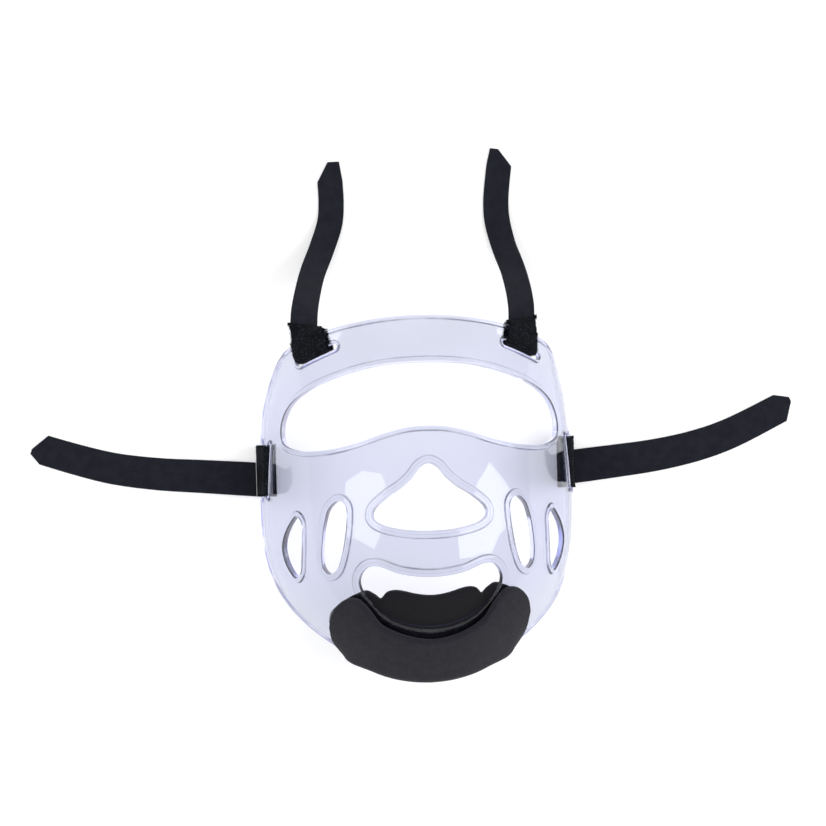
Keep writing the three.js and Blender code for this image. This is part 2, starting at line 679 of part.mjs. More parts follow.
/** A top loop: wide tape that goes through the top slot and round the bar above it,
 * and closes at the root of its strap. */
function topTab(side) {
  const slope = THREE.MathUtils.degToRad(TOP_SLOT.slope);
  const stations = 6;
  const frontIn = BEAD_RISE + CURVED_GAP;
  const backIn = -WALL - CURVED_GAP;
  const [root, beyond] = TOP_ROUTES[side < 0 ? 'left' : 'right'];
  const run = new THREE.Vector3(beyond.x - root.x, beyond.y - root.y, beyond.z - root.z);
  run.normalize();
  const level = new THREE.Vector3(0, 0, 1).cross(run).normalize();
  const rootAcross = level.applyAxisAngle(run, THREE.MathUtils.degToRad(root.roll));
  const rootUp = new THREE.Vector3().crossVectors(run, rootAcross).normalize();
  const outwards = Math.sign(rootAcross.x) * side;
  const outer = [];
  const inner = [];
  for (let i = 0; i <= stations; i += 1) {
    const share = (2 * i) / stations - 1;
    const end = new THREE.Vector3(root.x, root.y, root.z)
      .addScaledVector(rootAcross, (share * outwards * TOP_TAB_WIDTH.root) / 2)
      .addScaledVector(run, -GAP);
    const offset = (share * TOP_TAB_WIDTH.slot) / 2;
    const slotX = TOP_SLOT.x + side * TOP_TAB_SHIFT + offset * Math.cos(slope);
    const slotY = TOP_SLOT.y + (slotX - TOP_SLOT.x) * Math.tan(slope);
    const edgeX = THREE.MathUtils.lerp(slotX, Math.abs(end.x), 0.5);
    const edge = { angle: Math.asin((side * edgeX) / along('halfWidth', 0)), v: 0 };
    const below = placeAt(side * slotX, slotY - TAPE / 2);
    const above = placeAt(side * slotX, slotY + TAPE / 2);
    const on = (from, f, height) => raised(
      THREE.MathUtils.lerp(from.angle, edge.angle, f),
      THREE.MathUtils.lerp(from.v, edge.v, f), height,
    );
    const near = (layer) => end.clone().addScaledVector(rootUp, layer * TAPE);
    outer.push([
      on(below, 0, frontIn + TAPE / 2), on(below, 0.12, frontIn + TAPE),
      on(below, 0.6, frontIn + TAPE), on(below, 1.03, frontIn + TAPE), near(1), near(-1),
      on(below, 1.03, backIn - TAPE), on(below, 0.6, backIn - TAPE),
      on(below, 0.12, backIn - TAPE), on(below, 0, backIn - TAPE / 2),
    ]);
    const middle = on(above, 1.06, (frontIn + backIn) / 2);
    inner.push([
      on(above, 0, frontIn), on(above, 0.5, frontIn), on(above, 1.06, frontIn),
      middle.lerp(end, 0.5), on(above, 1.06, backIn), on(above, 0.5, backIn),
      on(above, 0, backIn),
    ]);
  }
  // The hollow is carried a little past both ends of the loop, so that it cuts through.
  const stretched = (loops, by) => {
    const first = loops[0].map((p, j) => p.clone().lerp(loops[1][j], -by));
    const last = loops[stations].map((p, j) => p.clone().lerp(loops[stations - 1][j], -by));
    return [first, ...loops.slice(1, -1), last];
  };
  const hollow = solid(loft(stretched(inner, 0.6)));
  return geometryFrom(solid(loft(outer)).subtract(hollow));
}

// ----------------------------------------------------------------------- assembly

const FINISHES = {
  clear: new THREE.MeshStandardMaterial({
    color: 0xdcdcf0, roughness: 0.05, metalness: 0, transparent: true, opacity: 0.35,
  }),
  foam: new THREE.MeshStandardMaterial({ color: 0x2b292a, roughness: 0.95, metalness: 0 }),
  webbing: new THREE.MeshStandardMaterial({ color: 0x191a20, roughness: 0.85, metalness: 0 }),
  looped: new THREE.MeshStandardMaterial({ color: 0x101014, roughness: 1, metalness: 0 }),
};

/** Adds a named mesh to a group. */
function place(group, name, geometry, finish) {
  const mesh = new THREE.Mesh(geometry, FINISHES[finish]);
  mesh.name = name;
  group.add(mesh);
}

const mask = new THREE.Group();
place(mask, 'shield', shield(), 'clear');
place(mask, 'chin_pad', chinPad(), 'foam');
for (const [name, side] of [['left', -1], ['right', 1]]) {
  place(mask, `side_tab_${name}`, sideTab(side), 'looped');
  place(mask, `top_tab_${name}`, topTab(side), 'looped');
  for (const [kind, routes, width] of [
    ['side_strap', SIDE_ROUTES, SIDE_STRAP_WIDTH], ['top_strap', TOP_ROUTES, TOP_STRAP_WIDTH],
  ]) {
    const title = `${kind}_${name}`;
    place(mask, title, strap(routes[name], width, TIPS[title]), 'webbing');
  }
}

// The origin is under the middle of the whole mask, on the surface.
const bounds = new THREE.Box3().setFromObject(mask);
const middle = bounds.getCenter(new THREE.Vector3());
mask.position.set(-middle.x, -middle.y, -bounds.min.z);

const object = new THREE.Group();
object.add(mask);
export default object;
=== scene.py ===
"""Dresses the face mask: a clear moulded shield, a folded foam chin pad, four woven
straps and the rough loops that tie them to the shield.

Shapes are worked out in the mask's own frame, in millimetres: +Z out of the face, +Y to
the forehead, and the middle of the brow line near X = 0. Datum carries them to the
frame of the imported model, in metres.
"""

import logging
import math
from dataclasses import dataclass, field
from enum import Enum

import bpy
import numpy as np
from mathutils import Matrix, Vector
from mathutils.geometry import delaunay_2d_cdt


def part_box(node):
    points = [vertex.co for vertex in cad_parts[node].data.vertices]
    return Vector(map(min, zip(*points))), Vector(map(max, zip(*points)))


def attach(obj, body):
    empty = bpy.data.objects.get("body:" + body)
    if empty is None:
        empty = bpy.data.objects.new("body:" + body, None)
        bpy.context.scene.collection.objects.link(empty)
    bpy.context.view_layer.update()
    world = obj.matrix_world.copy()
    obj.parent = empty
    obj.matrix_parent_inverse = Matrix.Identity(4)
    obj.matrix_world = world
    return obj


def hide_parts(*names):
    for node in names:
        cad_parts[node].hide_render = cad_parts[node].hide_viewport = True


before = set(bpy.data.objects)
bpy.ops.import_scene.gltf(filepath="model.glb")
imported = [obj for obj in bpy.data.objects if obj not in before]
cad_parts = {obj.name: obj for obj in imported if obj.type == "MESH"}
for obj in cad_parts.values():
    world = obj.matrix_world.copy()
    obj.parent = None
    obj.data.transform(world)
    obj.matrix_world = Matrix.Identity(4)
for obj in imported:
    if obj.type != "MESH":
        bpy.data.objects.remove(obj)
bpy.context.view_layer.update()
LOG = logging.getLogger("face_mask")

Array = np.ndarray
BODY = "root"
MM = 0.001

# Sizes in millimetres, as in the solids.
WALL = 2.4
BEAD_RISE = 0.9
CURVED_GAP = 0.7
TAPE = 1.4
LEVEL = TAPE / 2
CHART_SIZE = np.array([88.0, 190.0])  # what one radian and one v measure

WHITE = (1, 1, 1, 1)
BLACK = (0, 0, 0, 1)


# ------------------------------------------------------------------- shell formula


@dataclass(frozen=True)
class ShellForm:
    """The shield's outer face as a function of an angle across and v, from 0 at the
    forehead edge to 1 at the chin edge.

    Each row holds crown Y, crown Z, edge Y, half width and edge Z. The rows are joined by
    a uniform cubic B-spline and go on straight past both ends. At an angle a, X is the
    half width times sin a, Y goes from edge to crown as cos a to the power sweep, and Z
    as cos a, lowered at the shoulders.
    """

    rows: tuple[tuple[float, float, float, float, float], ...] = (
        (110, 65, 91, 80, 27),
        (92, 71, 73, 87.5, 8),
        (70, 77, 56, 92, 0),
        (44, 85, 36, 93.2, 0),
        (15, 94, 14, 94, 0),
        (-15, 98, -9, 94, 0),
        (-42, 95, -27, 92.4, 0),
        (-68, 85, -38, 89.6, 0),
        (-96.4, 60, -44.8, 86.2, 6),
    )
    shoulder: float = 0.08
    sweep: float = 1.5

    def columns(self, v: Array) -> Array:
        """Row values at v, on a last axis of five."""
        rows = np.array(self.rows, float)
        last = len(rows) - 1
        ends = (2 * rows[0] - rows[1], 2 * rows[-1] - rows[-2])
        rows = np.vstack([ends[0], rows, ends[1]])
        t = np.asarray(v, float) * last
        i = np.clip(np.floor(t).astype(int), 0, last - 1)
        f = np.clip(t - i, 0, 1)[..., None]
        weights = (
            (1 - f) ** 3,
            3 * f**3 - 6 * f**2 + 4,
            -3 * f**3 + 3 * f**2 + 3 * f + 1,
            f**3,
        )
        inside = sum(w * rows[i + k] for k, w in enumerate(weights)) / 6
        before = rows[1] + t[..., None] * (rows[2] - rows[1])
        after = rows[-2] + (t - last)[..., None] * (rows[-2] - rows[-3])
        inside = np.where((t < 0)[..., None], before, inside)
        return np.where((t > last)[..., None], after, inside)

    def point(self, angle: Array, v: Array) -> Array:
        """Points of the outer face."""
        crown_y, crown_z, edge_y, half, edge_z = np.moveaxis(self.columns(v), -1, 0)
        sine, cosine = np.sin(angle), np.cos(angle)
        rise = (crown_z - edge_z) * cosine * (1 - self.shoulder * sine**2)
        turn = np.maximum(cosine, 0) ** self.sweep
        y = edge_y + (crown_y - edge_y) * turn
        return np.stack([half * sine, y, edge_z + rise], -1)

    def slopes(self, angle: Array, v: Array) -> tuple[Array, Array]:
        """Rates of change of the point with the angle and with v."""
        h = 1e-4
        across = (self.point(angle + h, v) - self.point(angle - h, v)) / (2 * h)
        down = (self.point(angle, v + h) - self.point(angle, v - h)) / (2 * h)
        return across, down

    def normal(self, angle: Array, v: Array) -> Array:
        """Outward normals of the outer face."""
        across, down = self.slopes(angle, v)
        return unit(np.cross(down, across))

    def raised(self, angle: Array, v: Array, height: Array | float) -> Array:
        """Points at a height off the outer face."""
        lift = np.asarray(height, float)[..., None]
        return self.point(angle, v) + self.normal(angle, v) * lift

    def nudged(self, angle: Array, v: Array, step: Array) -> tuple[Array, Array]:
        """The angle and v after a short step in space along the face.

        The step is split over the two slopes by least squares, twice, so that a curved
        face is followed.
        """
        target = self.point(angle, v) + step
        for _ in range(2):
            across, down = self.slopes(angle, v)
            left = target - self.point(angle, v)
            aa, dd = (across**2).sum(-1), (down**2).sum(-1)
            ad = (across * down).sum(-1)
            la, ld = (left * across).sum(-1), (left * down).sum(-1)
            area = aa * dd - ad**2
            angle = angle + (la * dd - ld * ad) / area
            v = v + (ld * aa - la * ad) / area
        return angle, v

    def place(self, x: Array, y: Array) -> tuple[Array, Array]:
        """The angle and v seen at x, y from the front, by bisection on v."""
        x, y = np.asarray(x, float), np.asarray(y, float)
        top, bottom = np.full(x.shape, -0.4), np.full(x.shape, 1.3)
        for _ in range(40):
            v = (top + bottom) / 2
            angle = np.arcsin(np.clip(x / self.columns(v)[..., 3], -1, 1))
            above = self.point(angle, v)[..., 1] > y
            top, bottom = np.where(above, v, top), np.where(above, bottom, v)
        angle = np.arcsin(np.clip(x / self.columns(top)[..., 3], -1, 1))
        return angle, top

    def side_place(self, side: int, y: Array, z: Array) -> tuple[Array, Array]:
        """The angle and v on a side wall at a Y and a height, by Newton's method."""
        v = 0.45 - (np.asarray(y, float) - 14) / 150
        angle = side * (math.pi / 2 - np.asarray(z, float) / 90)
        for _ in range(8):
            across, down = self.slopes(angle, v)
            left = np.stack([y, z], -1) - self.point(angle, v)[..., 1:]
            area = across[..., 1] * down[..., 2] - across[..., 2] * down[..., 1]
            angle = angle + (left[..., 0] * down[..., 2] - left[..., 1] * down[..., 1]) / area
            v = v + (left[..., 1] * across[..., 1] - left[..., 0] * across[..., 2]) / area
        return angle, v


def unit(vectors: Array) -> Array:
    """The same vectors with length 1."""
    size = np.linalg.norm(vectors, axis=-1, keepdims=True)
    return vectors / np.maximum(size, 1e-12)


SHELL = ShellForm()


@dataclass(frozen=True)
class Datum:
    """Where the mask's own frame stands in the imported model."""

    offset: tuple[float, float, float]

    @classmethod
    def found(cls) -> "Datum":
        """Reads the shield's box: it is even about X = 0, it rests on Z = 0 and its
        forehead edge is at the crown of the first row, raised by the bead."""
        low, high = (np.array(corner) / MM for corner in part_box("shield"))
        brow = SHELL.raised(np.array(0.0), np.array(0.0), BEAD_RISE)
        return cls(((low[0] + high[0]) / 2, high[1] - brow[1], low[2]))

    def metres(self, points: Array) -> Array:
        """Points of the mask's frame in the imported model's frame, in metres."""
        return (points + np.array(self.offset)) * MM


DATUM = Datum.found()


# --------------------------------------------------------------------- mesh helpers


@dataclass
class Skin:
    """A mesh in the making, in the mask's frame.

    Attributes:
        points: vertices, one row each.
        faces: arrays of faces, all of one array with the same number of corners.
        normals: a normal for each vertex, or None to let Blender smooth them.
        pattern: a pattern coordinate for each vertex, in millimetres, or None.
        marks: named masks, each with a value for each vertex.
    """

    points: Array
    faces: list[Array]
    normals: Array | None = None
    pattern: Array | None = None
    marks: dict[str, Array] = field(default_factory=dict)

    def object(self, name: str) -> bpy.types.Object:
        """A Blender object at the origin with this mesh, shaded smooth."""
        mesh = bpy.data.meshes.new(name)
        corners = np.concatenate([f.ravel() for f in self.faces]).astype(np.int32)
        totals = np.concatenate([np.full(len(f), f.shape[1]) for f in self.faces])
        starts = np.concatenate([[0], np.cumsum(totals)[:-1]]).astype(np.int32)
        mesh.vertices.add(len(self.points))
        mesh.vertices.foreach_set("co", DATUM.metres(self.points).astype(np.float32).ravel())
        mesh.loops.add(len(corners))
        mesh.loops.foreach_set("vertex_index", corners)
        mesh.polygons.add(len(totals))
        mesh.polygons.foreach_set("loop_start", starts)
        mesh.polygons.foreach_set("use_smooth", np.ones(len(totals), bool))
        mesh.update(calc_edges=True)
        if self.pattern is not None:
            layer = mesh.uv_layers.new(name="cloth")
            layer.data.foreach_set("uv", self.pattern[corners].astype(np.float32).ravel())
        if self.normals is not None:
            mesh.normals_split_custom_set_from_vertices(self.normals.tolist())
        for title, values in self.marks.items():
            mask = mesh.attributes.new(title, "FLOAT", "POINT")
            mask.data.foreach_set("value", values.astype(np.float32))
        made = bpy.data.objects.new(name, mesh)
        bpy.context.scene.collection.objects.link(made)
        return made


def joined(skins: list[Skin]) -> Skin:
    """Several skins as one."""
    starts = np.cumsum([0] + [len(s.points) for s in skins])
    faces = [f + start for s, start in zip(skins, starts) for f in s.faces]
    patterns = [s.pattern for s in skins if s.pattern is not None]
    whole = len(patterns) == len(skins)
    return Skin(
        np.concatenate([s.points for s in skins]),
        faces,
        pattern=np.concatenate(patterns) if whole else None,
    )


def grid_quads(index: Array, wrap: bool = False) -> Array:
    """Quads between the rows and columns of a grid of vertex numbers.

    Args:
        index: vertex numbers on a grid.
        wrap: whether the last row joins the first.

    Returns:
        One row of four vertex numbers for each quad.
    """
    if wrap:
        index = np.vstack([index, index[:1]])
    a, b = index[:-1, :-1], index[1:, :-1]
    c, d = index[1:, 1:], index[:-1, 1:]
    return np.stack([a, b, c, d], -1).reshape(-1, 4)


def grid_normals(points: Array, wrap: bool = False) -> Array:
    """Normals of a grid of points, by the cross product of its differences."""
    if wrap:
        along = np.roll(points, -1, 0) - np.roll(points, 1, 0)
    else:
        along = np.gradient(points, axis=0)
    return unit(np.cross(along, np.gradient(points, axis=1)))


def rounded_steps(length: float, radius: float, count: int) -> Array:
    """Distances from 0 to a length, closer together within a radius of both ends."""
    share = np.sin(np.linspace(0, math.pi / 2, 5))[:-1]
    start = radius * (1 - np.cos(np.arcsin(share)))
    middle = np.linspace(radius, length - radius, count)
    return np.concatenate([start, middle, (length - start)[::-1]])


def edge_profile(distance: Array, radius: float) -> Array:
    """Share of the full thickness at a distance from a rounded edge: a quarter circle."""
    left = np.clip(1 - distance / radius, 0, 1)
    return np.sqrt(np.maximum(1 - left**2, 0))


def slab(middle: Array, half: Array, wrap: bool = False, pattern: Array | None = None) -> Skin:
    """A closed sheet about a grid of points, thin to nothing at its free edges.

    Args:
        middle: the sheet's middle surface, as a grid of points.
        half: half the thickness at each point, 0 along the free edges.
        wrap: whether the first axis is a closed ring.
        pattern: pattern coordinates of the grid's points.

    Returns:
        The sheet's two faces, one normal step to each side of the middle surface, which
        share the vertices of the free edges.
    """
    normals = grid_normals(middle, wrap)
    rows, columns = middle.shape[:2]
    front = np.arange(rows * columns).reshape(rows, columns)
    inner = np.ones((rows, columns), bool)
    inner[:, [0, -1]] = False
    if not wrap:
        inner[[0, -1], :] = False
    back = front.copy()
    back[inner] = rows * columns + np.arange(inner.sum())
    lift = normals * half[..., None]
    points = np.concatenate([(middle + lift).reshape(-1, 3), (middle - lift)[inner]])
    faces = [grid_quads(front, wrap), grid_quads(back, wrap)[:, ::-1]]
    if pattern is not None:
        pattern = np.concatenate([pattern.reshape(-1, 2), pattern[inner]])
    return Skin(points, faces, pattern=pattern)


def spline(points: Array, samples: Array, closed: bool = False) -> Array:
    """A centripetal Catmull-Rom curve through points.

    Args:
        points: control points on the first axis. Further axes hold separate curves.
        samples: places along the curve, 1 for each control point passed.
        closed: whether the curve returns to its first point.

    Returns:
        The curve's points, one for each sample.
    """
    count = len(points)
    if closed:
        padded = np.concatenate([points[-1:], points, points[:2]])
    else:
        first, last = 2 * points[:1] - points[1:2], 2 * points[-1:] - points[-2:-1]
        padded = np.concatenate([first, points, last])
    spans = count if closed else count - 1
    i = np.clip(np.floor(samples).astype(int), 0, spans - 1)
    f = (samples - i).reshape((-1,) + (1,) * (points.ndim - 1))
    p0, p1, p2, p3 = (padded[i + k] for k in range(4))
    gap = [
        np.maximum(np.sqrt(np.linalg.norm(b - a, axis=-1, keepdims=True)), 1e-4)
        for a, b in ((p0, p1), (p1, p2), (p2, p3))
    ]
    m1 = (p1 - p0) / gap[0] - (p2 - p0) / (gap[0] + gap[1]) + (p2 - p1) / gap[1]
    m2 = (p2 - p1) / gap[1] - (p3 - p1) / (gap[1] + gap[2]) + (p3 - p2) / gap[2]
    m1, m2 = m1 * gap[1], m2 * gap[1]
    cube, square = f**3, f**2
    return (
        (2 * cube - 3 * square + 1) * p1
        + (cube - 2 * square + f) * m1
        + (3 * square - 2 * cube) * p2
        + (cube - square) * m2
    )


def lengths(points: Array) -> Array:
    """Distance along a line of points, from 0 at the first."""
    steps = np.linalg.norm(np.diff(points, axis=0), axis=-1)
    return np.concatenate([[0], np.cumsum(steps)])


def evenly(points: Array, count: int) -> Array:
    """A closed line of points sampled again at even distances."""
    ring = np.vstack([points, points[:1]])
    along = lengths(ring)
    wanted = np.linspace(0, along[-1], count, endpoint=False)
    return np.stack([np.interp(wanted, along, ring[:, k]) for k in range(ring.shape[1])], -1)


def swept_tubes(lines: Array, radius: Array, sides: int) -> Skin:
    """Thin tubes along many lines of points.

    Args:
        lines: points, as lines by points by three.
        radius: the radius at each point of a line.
        sides: how many sides a tube has.

    Returns:
        All tubes. A ring of points stands square to the line at each point, and both
        ends are closed by one face.
    """
    run = unit(np.gradient(lines, axis=1))
    guide = np.where(np.abs(run[..., 2:]) > 0.9, [[[1.0, 0, 0]]], [[[0, 0, 1.0]]])
    u = unit(np.cross(run, guide))
    w = np.cross(run, u)
    turn = np.arange(sides) * 2 * math.pi / sides
    circle = u[:, :, None] * np.cos(turn)[:, None] + w[:, :, None] * np.sin(turn)[:, None]
    points = lines[:, :, None] + circle * radius[None, :, None, None]
    count, stations = lines.shape[:2]
    index = np.arange(count * stations * sides).reshape(count, stations, sides)
    ring = np.concatenate([index, index[..., :1]], -1)
    a, b = ring[:, :-1, :-1], ring[:, 1:, :-1]
    c, d = ring[:, 1:, 1:], ring[:, :-1, 1:]
    quads = np.stack([a, d, c, b], -1).reshape(-1, 4)
    return Skin(points.reshape(-1, 3), [quads, index[:, 0, ::-1], index[:, -1]])


# -------------------------------------------------------------------- clear shield


class Rim(Enum):
    """Each kind of edge: its bead's width in millimetres, and how much shows of the dark line
    of painted shade along the bead's middle and at its lip, and of the painted glow in its cut
    edge."""

    EYE = (3.1, 0.12, 0.0, 1.0)
    NOSE = (4.4, 0.45, 0.55, 0.5)
    MOUTH = (4.5, 0.4, 0.6, 0.02)
    INNER_SLOT = (4.0, 0.25, 0.3, 0.5)
    OUTER_SLOT = (3.4, 0.1, 0.12, 0.35)
    STRAP_SLOT = (1.8, 0.0, 0.5, 0.5)
    EDGE = (2.6, 0.0, 0.0, 0.8)

    def profile(self) -> Array:
        """The bead's section from the outer face, over the bead and down the cut edge, to
        the inner face.

        Returns:
            Rows of distance into the wall, height over the outer face, and two masks:
            the dark lines of painted shade at the bead's foot, middle and lip, and the cut
            edge, which gets a painted glow.
        """
        w, line, lip, cut = self.value
        groove = min(0.32, 0.14 * (w - 1))
        rows = np.array([
            (w + 0.8, 0, 0, 0), (w + 0.4, 0.015, 0.4, 0), (w + 0.12, 0.09, 1, 0),
            (w - 0.06, 0.34, 1, 0), (w - 0.22, 0.66, 0.7, 0), (w - 0.5, 0.86, 0.1, 0),
            (w / 2 + groove, 0.95, 0, 0), (w / 2, 0.95 - groove / 3, line, 0),
            (w / 2 - groove, 0.95, 0, 0), (min(0.75, w / 2 - groove - 0.02), 0.88, 0, 0),
            (0.32, 0.7, lip, 0.2), (0.07, 0.38, lip, 0.8), (0, -0.1, 0, 1), (0, -0.9, 0, 1),
            (0, -1.65, 0, 1), (0.07, -2.03, 0, 0.8), (0.3, -2.31, 0, 0.2),
            (0.75, -2.4, 0, 0), (w * 0.5 + 0.4, -2.4, 0, 0), (w + 0.8, -2.4, 0, 0),
        ])
        return rows * [1, 1, 1, cut]


@dataclass(frozen=True)
class ClearShield:
    """The clear moulded shield, with a raised bead round every opening and edge."""

    eye: tuple = (
        (0, 82.3), (27, 80.6), (49, 75.2), (66, 68), (76, 59.5), (80.6, 48), (79.5, 38),
        (71, 33.6), (56, 33.6), (40, 36.8), (24, 42), (11, 45), (0, 45.6),
    )
    nose: tuple = (
        (0, 24.3), (4.5, 22.2), (9.5, 16.2), (15.5, 11), (24, 5.5), (31.5, -1.5), (32, -6),
        (28, -9.4), (15, -12.8), (0, -13.8),
    )
    mouth: tuple = (
        (0, -40), (18, -37.8), (31, -33.2), (36.5, -34.4), (40.3, -40.5), (39.6, -46.5),
        (34, -54.5), (24, -63.4), (12, -68.4), (0, -69.8),
    )
    inner_slot: tuple = (
        (51, 4), (55.8, 0), (58.6, -8), (60, -18), (60.6, -28), (59.6, -34.6),
        (56.6, -37.4), (53, -35), (50, -27), (48, -17), (46.8, -7), (47.2, 1),
    )
    outer_slot: tuple = (
        (74.2, -4.6), (77.4, -8.6), (80.4, -15), (81.8, -22.5), (80.6, -30),
        (77.8, -36.4), (75, -39.8), (72.8, -37), (72, -28), (71.6, -17), (71.8, -8),
    )
    strap_slot: tuple[float, float] = (59.8, 89)
    strap_slot_half: tuple[float, float] = (12.4, 1.9)
    strap_slot_slope: float = -23.0
    side_slot_y: tuple[float, float] = (6.3, 38.7)
    side_slot_z: tuple[float, float] = (24, 27)
    notch_depth: float = 12.0
    notch_radii: tuple[float, float] = (4.4, 2.2)
    chin_corner: tuple[float, float] = (0.114, 0.059)
    brow_corner: tuple[float, float] = (0.42, 0.09)
    pitch: float = 2.3
    step: float = 1.1
    outline_points: int = 1200
    border_points: int = 400

    @staticmethod
    def mirrored(half: tuple) -> Array:
        """The closed outline of which the right half is given."""
        right = np.array(half, float)
        left = right[1:-1][::-1] * [-1, 1]
        return np.vstack([right, left])

    def smooth(self, corners: Array) -> Array:
        """A smooth closed outline through corners, as many points of it."""
        samples = np.linspace(0, len(corners), self.outline_points, endpoint=False)
        return spline(corners, samples, True)

    def bar(self, half_length: float, half_width: float) -> Array:
        """A bar with round ends about the origin."""
        turn = np.linspace(-math.pi / 2, math.pi / 2, 40)
        circle = half_width * np.stack([np.cos(turn), np.sin(turn)], -1)
        cap = circle + [half_length - half_width, 0]
        return np.vstack([cap, -cap])

    def charts(self) -> list[tuple[Array, Rim]]:
        """The outline of every opening as angles and v, with its rim."""
        found = []
        for half, rim in ((self.eye, Rim.EYE), (self.nose, Rim.NOSE), (self.mouth, Rim.MOUTH)):
            outline = self.smooth(self.mirrored(half))
            found.append((SHELL.place(outline[:, 0], outline[:, 1]), rim))
        turn = math.radians(self.strap_slot_slope)
        spin = np.array([[math.cos(turn), math.sin(turn)], [-math.sin(turn), math.cos(turn)]])
        strap_slot = self.bar(*self.strap_slot_half) @ spin + self.strap_slot
        y0, y1 = self.side_slot_y
        z0, z1 = self.side_slot_z
        side = self.bar((y1 - y0) / 2, (z1 - z0) / 2) + [(y0 + y1) / 2, (z0 + z1) / 2]
        for sign in (1, -1):
            for outline, rim in (
                (self.smooth(np.array(self.inner_slot, float)), Rim.INNER_SLOT),
                (self.smooth(np.array(self.outer_slot, float)), Rim.OUTER_SLOT),
                (strap_slot, Rim.STRAP_SLOT),
            ):
                found.append((SHELL.place(sign * outline[:, 0], outline[:, 1]), rim))
            found.append((SHELL.side_place(sign, side[:, 0], side[:, 1]), Rim.STRAP_SLOT))
        return [(np.stack(chart, -1), rim) for chart, rim in found]

    def notch(self) -> Array:
        """Depth into the wall and Y along a side notch, from its upper end: a cut with
        square walls, its two feet and its two inner corners rounded to quarter circles."""
        y0, y1 = self.side_slot_y
        foot, inner = self.notch_radii
        turn = np.linspace(0, math.pi / 2, 14)
        sine, cosine = np.sin(turn), np.cos(turn)
        depth = np.concatenate([foot * (1 - cosine), self.notch_depth - inner * (1 - sine)])
        y = np.concatenate([y1 + foot * (1 - sine), y1 - inner * (1 - cosine)])
        upper = np.stack([depth, y], -1)
        lower = (upper * [1, -1] + [0, y0 + y1])[::-1]
        return np.vstack([upper, lower])

    def border(self) -> Array:
        """The shield's own outline as angles and v: a square with a quarter ellipse at
        each corner, cut in over the side loops by a notch."""
        quarter = np.linspace(0, math.pi / 2, 24)
        sine, cosine = np.sin(quarter), np.cos(quarter)
        right = math.pi / 2
        (a, b), (c, d) = self.brow_corner, self.chin_corner
        brow = np.stack([right - a * (1 - sine), b * (1 - cosine)], -1)
        chin = np.stack([right - c * (1 - cosine), 1 - d * (1 - sine)], -1)
        side_v = np.linspace(b, 1 - d, self.border_points)
        side = np.full(self.border_points, right)
        side_y = SHELL.point(side, side_v)[:, 1]
        depth, y = self.notch().T
        notch = np.stack([right - depth / CHART_SIZE[0], np.interp(-y, -side_y, side_v)], -1)
        edge = np.stack([side, side_v], -1)
        above = edge[1:-1][side_y[1:-1] > y[0]]
        below = edge[1:-1][side_y[1:-1] < y[-1]]
        half = np.vstack([brow, above, notch, below, chin])
        chin_line = np.linspace([right - c, 1], [c - right, 1], 300)[1:-1]
        brow_line = np.linspace([a - right, 0], [right - a, 0], 300)[1:-1]
        return np.vstack([half, chin_line, (half * [-1, 1])[::-1], brow_line])

    def rim_rows(self, chart: Array, rim: Rim, outwards: bool) -> tuple[Array, Array, Array]:
        """A rim's section carried along an outline.

        Args:
            chart: the outline as angles and v, closely spaced.
            rim: its kind.
            outwards: whether the wall lies outside the outline.

        Returns:
            The rim's points and normals, on a grid of places along by section points,
            and the outline of the panel beside it as angles and v.
        """
        spots = SHELL.point(chart[:, 0], chart[:, 1])
        total = lengths(np.vstack([spots, spots[:1]]))[-1]
        ring = evenly(np.hstack([spots, chart]), max(40, int(total / self.step)))
        angle, v = ring[:, 3], ring[:, 4]
        spots = SHELL.point(angle, v)
        run = unit(np.roll(spots, -1, 0) - np.roll(spots, 1, 0))
        aside = unit(np.cross(run, SHELL.normal(angle, v)))
        area = self.area(np.stack([angle, v], -1))
        grown = self.area(np.stack(SHELL.nudged(angle, v, aside * 0.5), -1))
        if (abs(grown) > abs(area)) != outwards:
            aside = -aside
        section = rim.profile()
        angles, vs = SHELL.nudged(
            np.repeat(angle[:, None], len(section), 1),
            np.repeat(v[:, None], len(section), 1),
            aside[:, None] * section[None, :, :1],
        )
        points = SHELL.raised(angles, vs, np.broadcast_to(section[:, 1], angles.shape))
        normals = grid_normals(points, True)
        face = SHELL.normal(angles[:, 0], vs[:, 0])
        if (normals[:, 0] * face).sum() < 0:
            normals = -normals
        normals[:, 0], normals[:, -1] = face, -face
        return points, normals, np.stack([angles[:, 0], vs[:, 0]], -1)

    @staticmethod
    def area(chart: Array) -> float:
        """The signed area inside a closed outline."""
        x, y = chart.T
        return float((x * np.roll(y, -1) - np.roll(x, -1) * y).sum() / 2)

    @staticmethod
    def inside(points: Array, loops: list[Array]) -> Array:
        """Whether each point is inside an odd number of closed outlines."""
        found = np.zeros(len(points), bool)
        for loop in loops:
            a, b = loop, np.roll(loop, -1, 0)
            over = (a[:, 1] > points[:, 1:]) != (b[:, 1] > points[:, 1:])
            slope = (b[:, 0] - a[:, 0]) / np.where(b[:, 1] == a[:, 1], 1, b[:, 1] - a[:, 1])
            left = points[:, :1] < a[:, 0] + (points[:, 1:] - a[:, 1]) * slope
            found ^= (over & left).sum(1) % 2 == 1
        return found

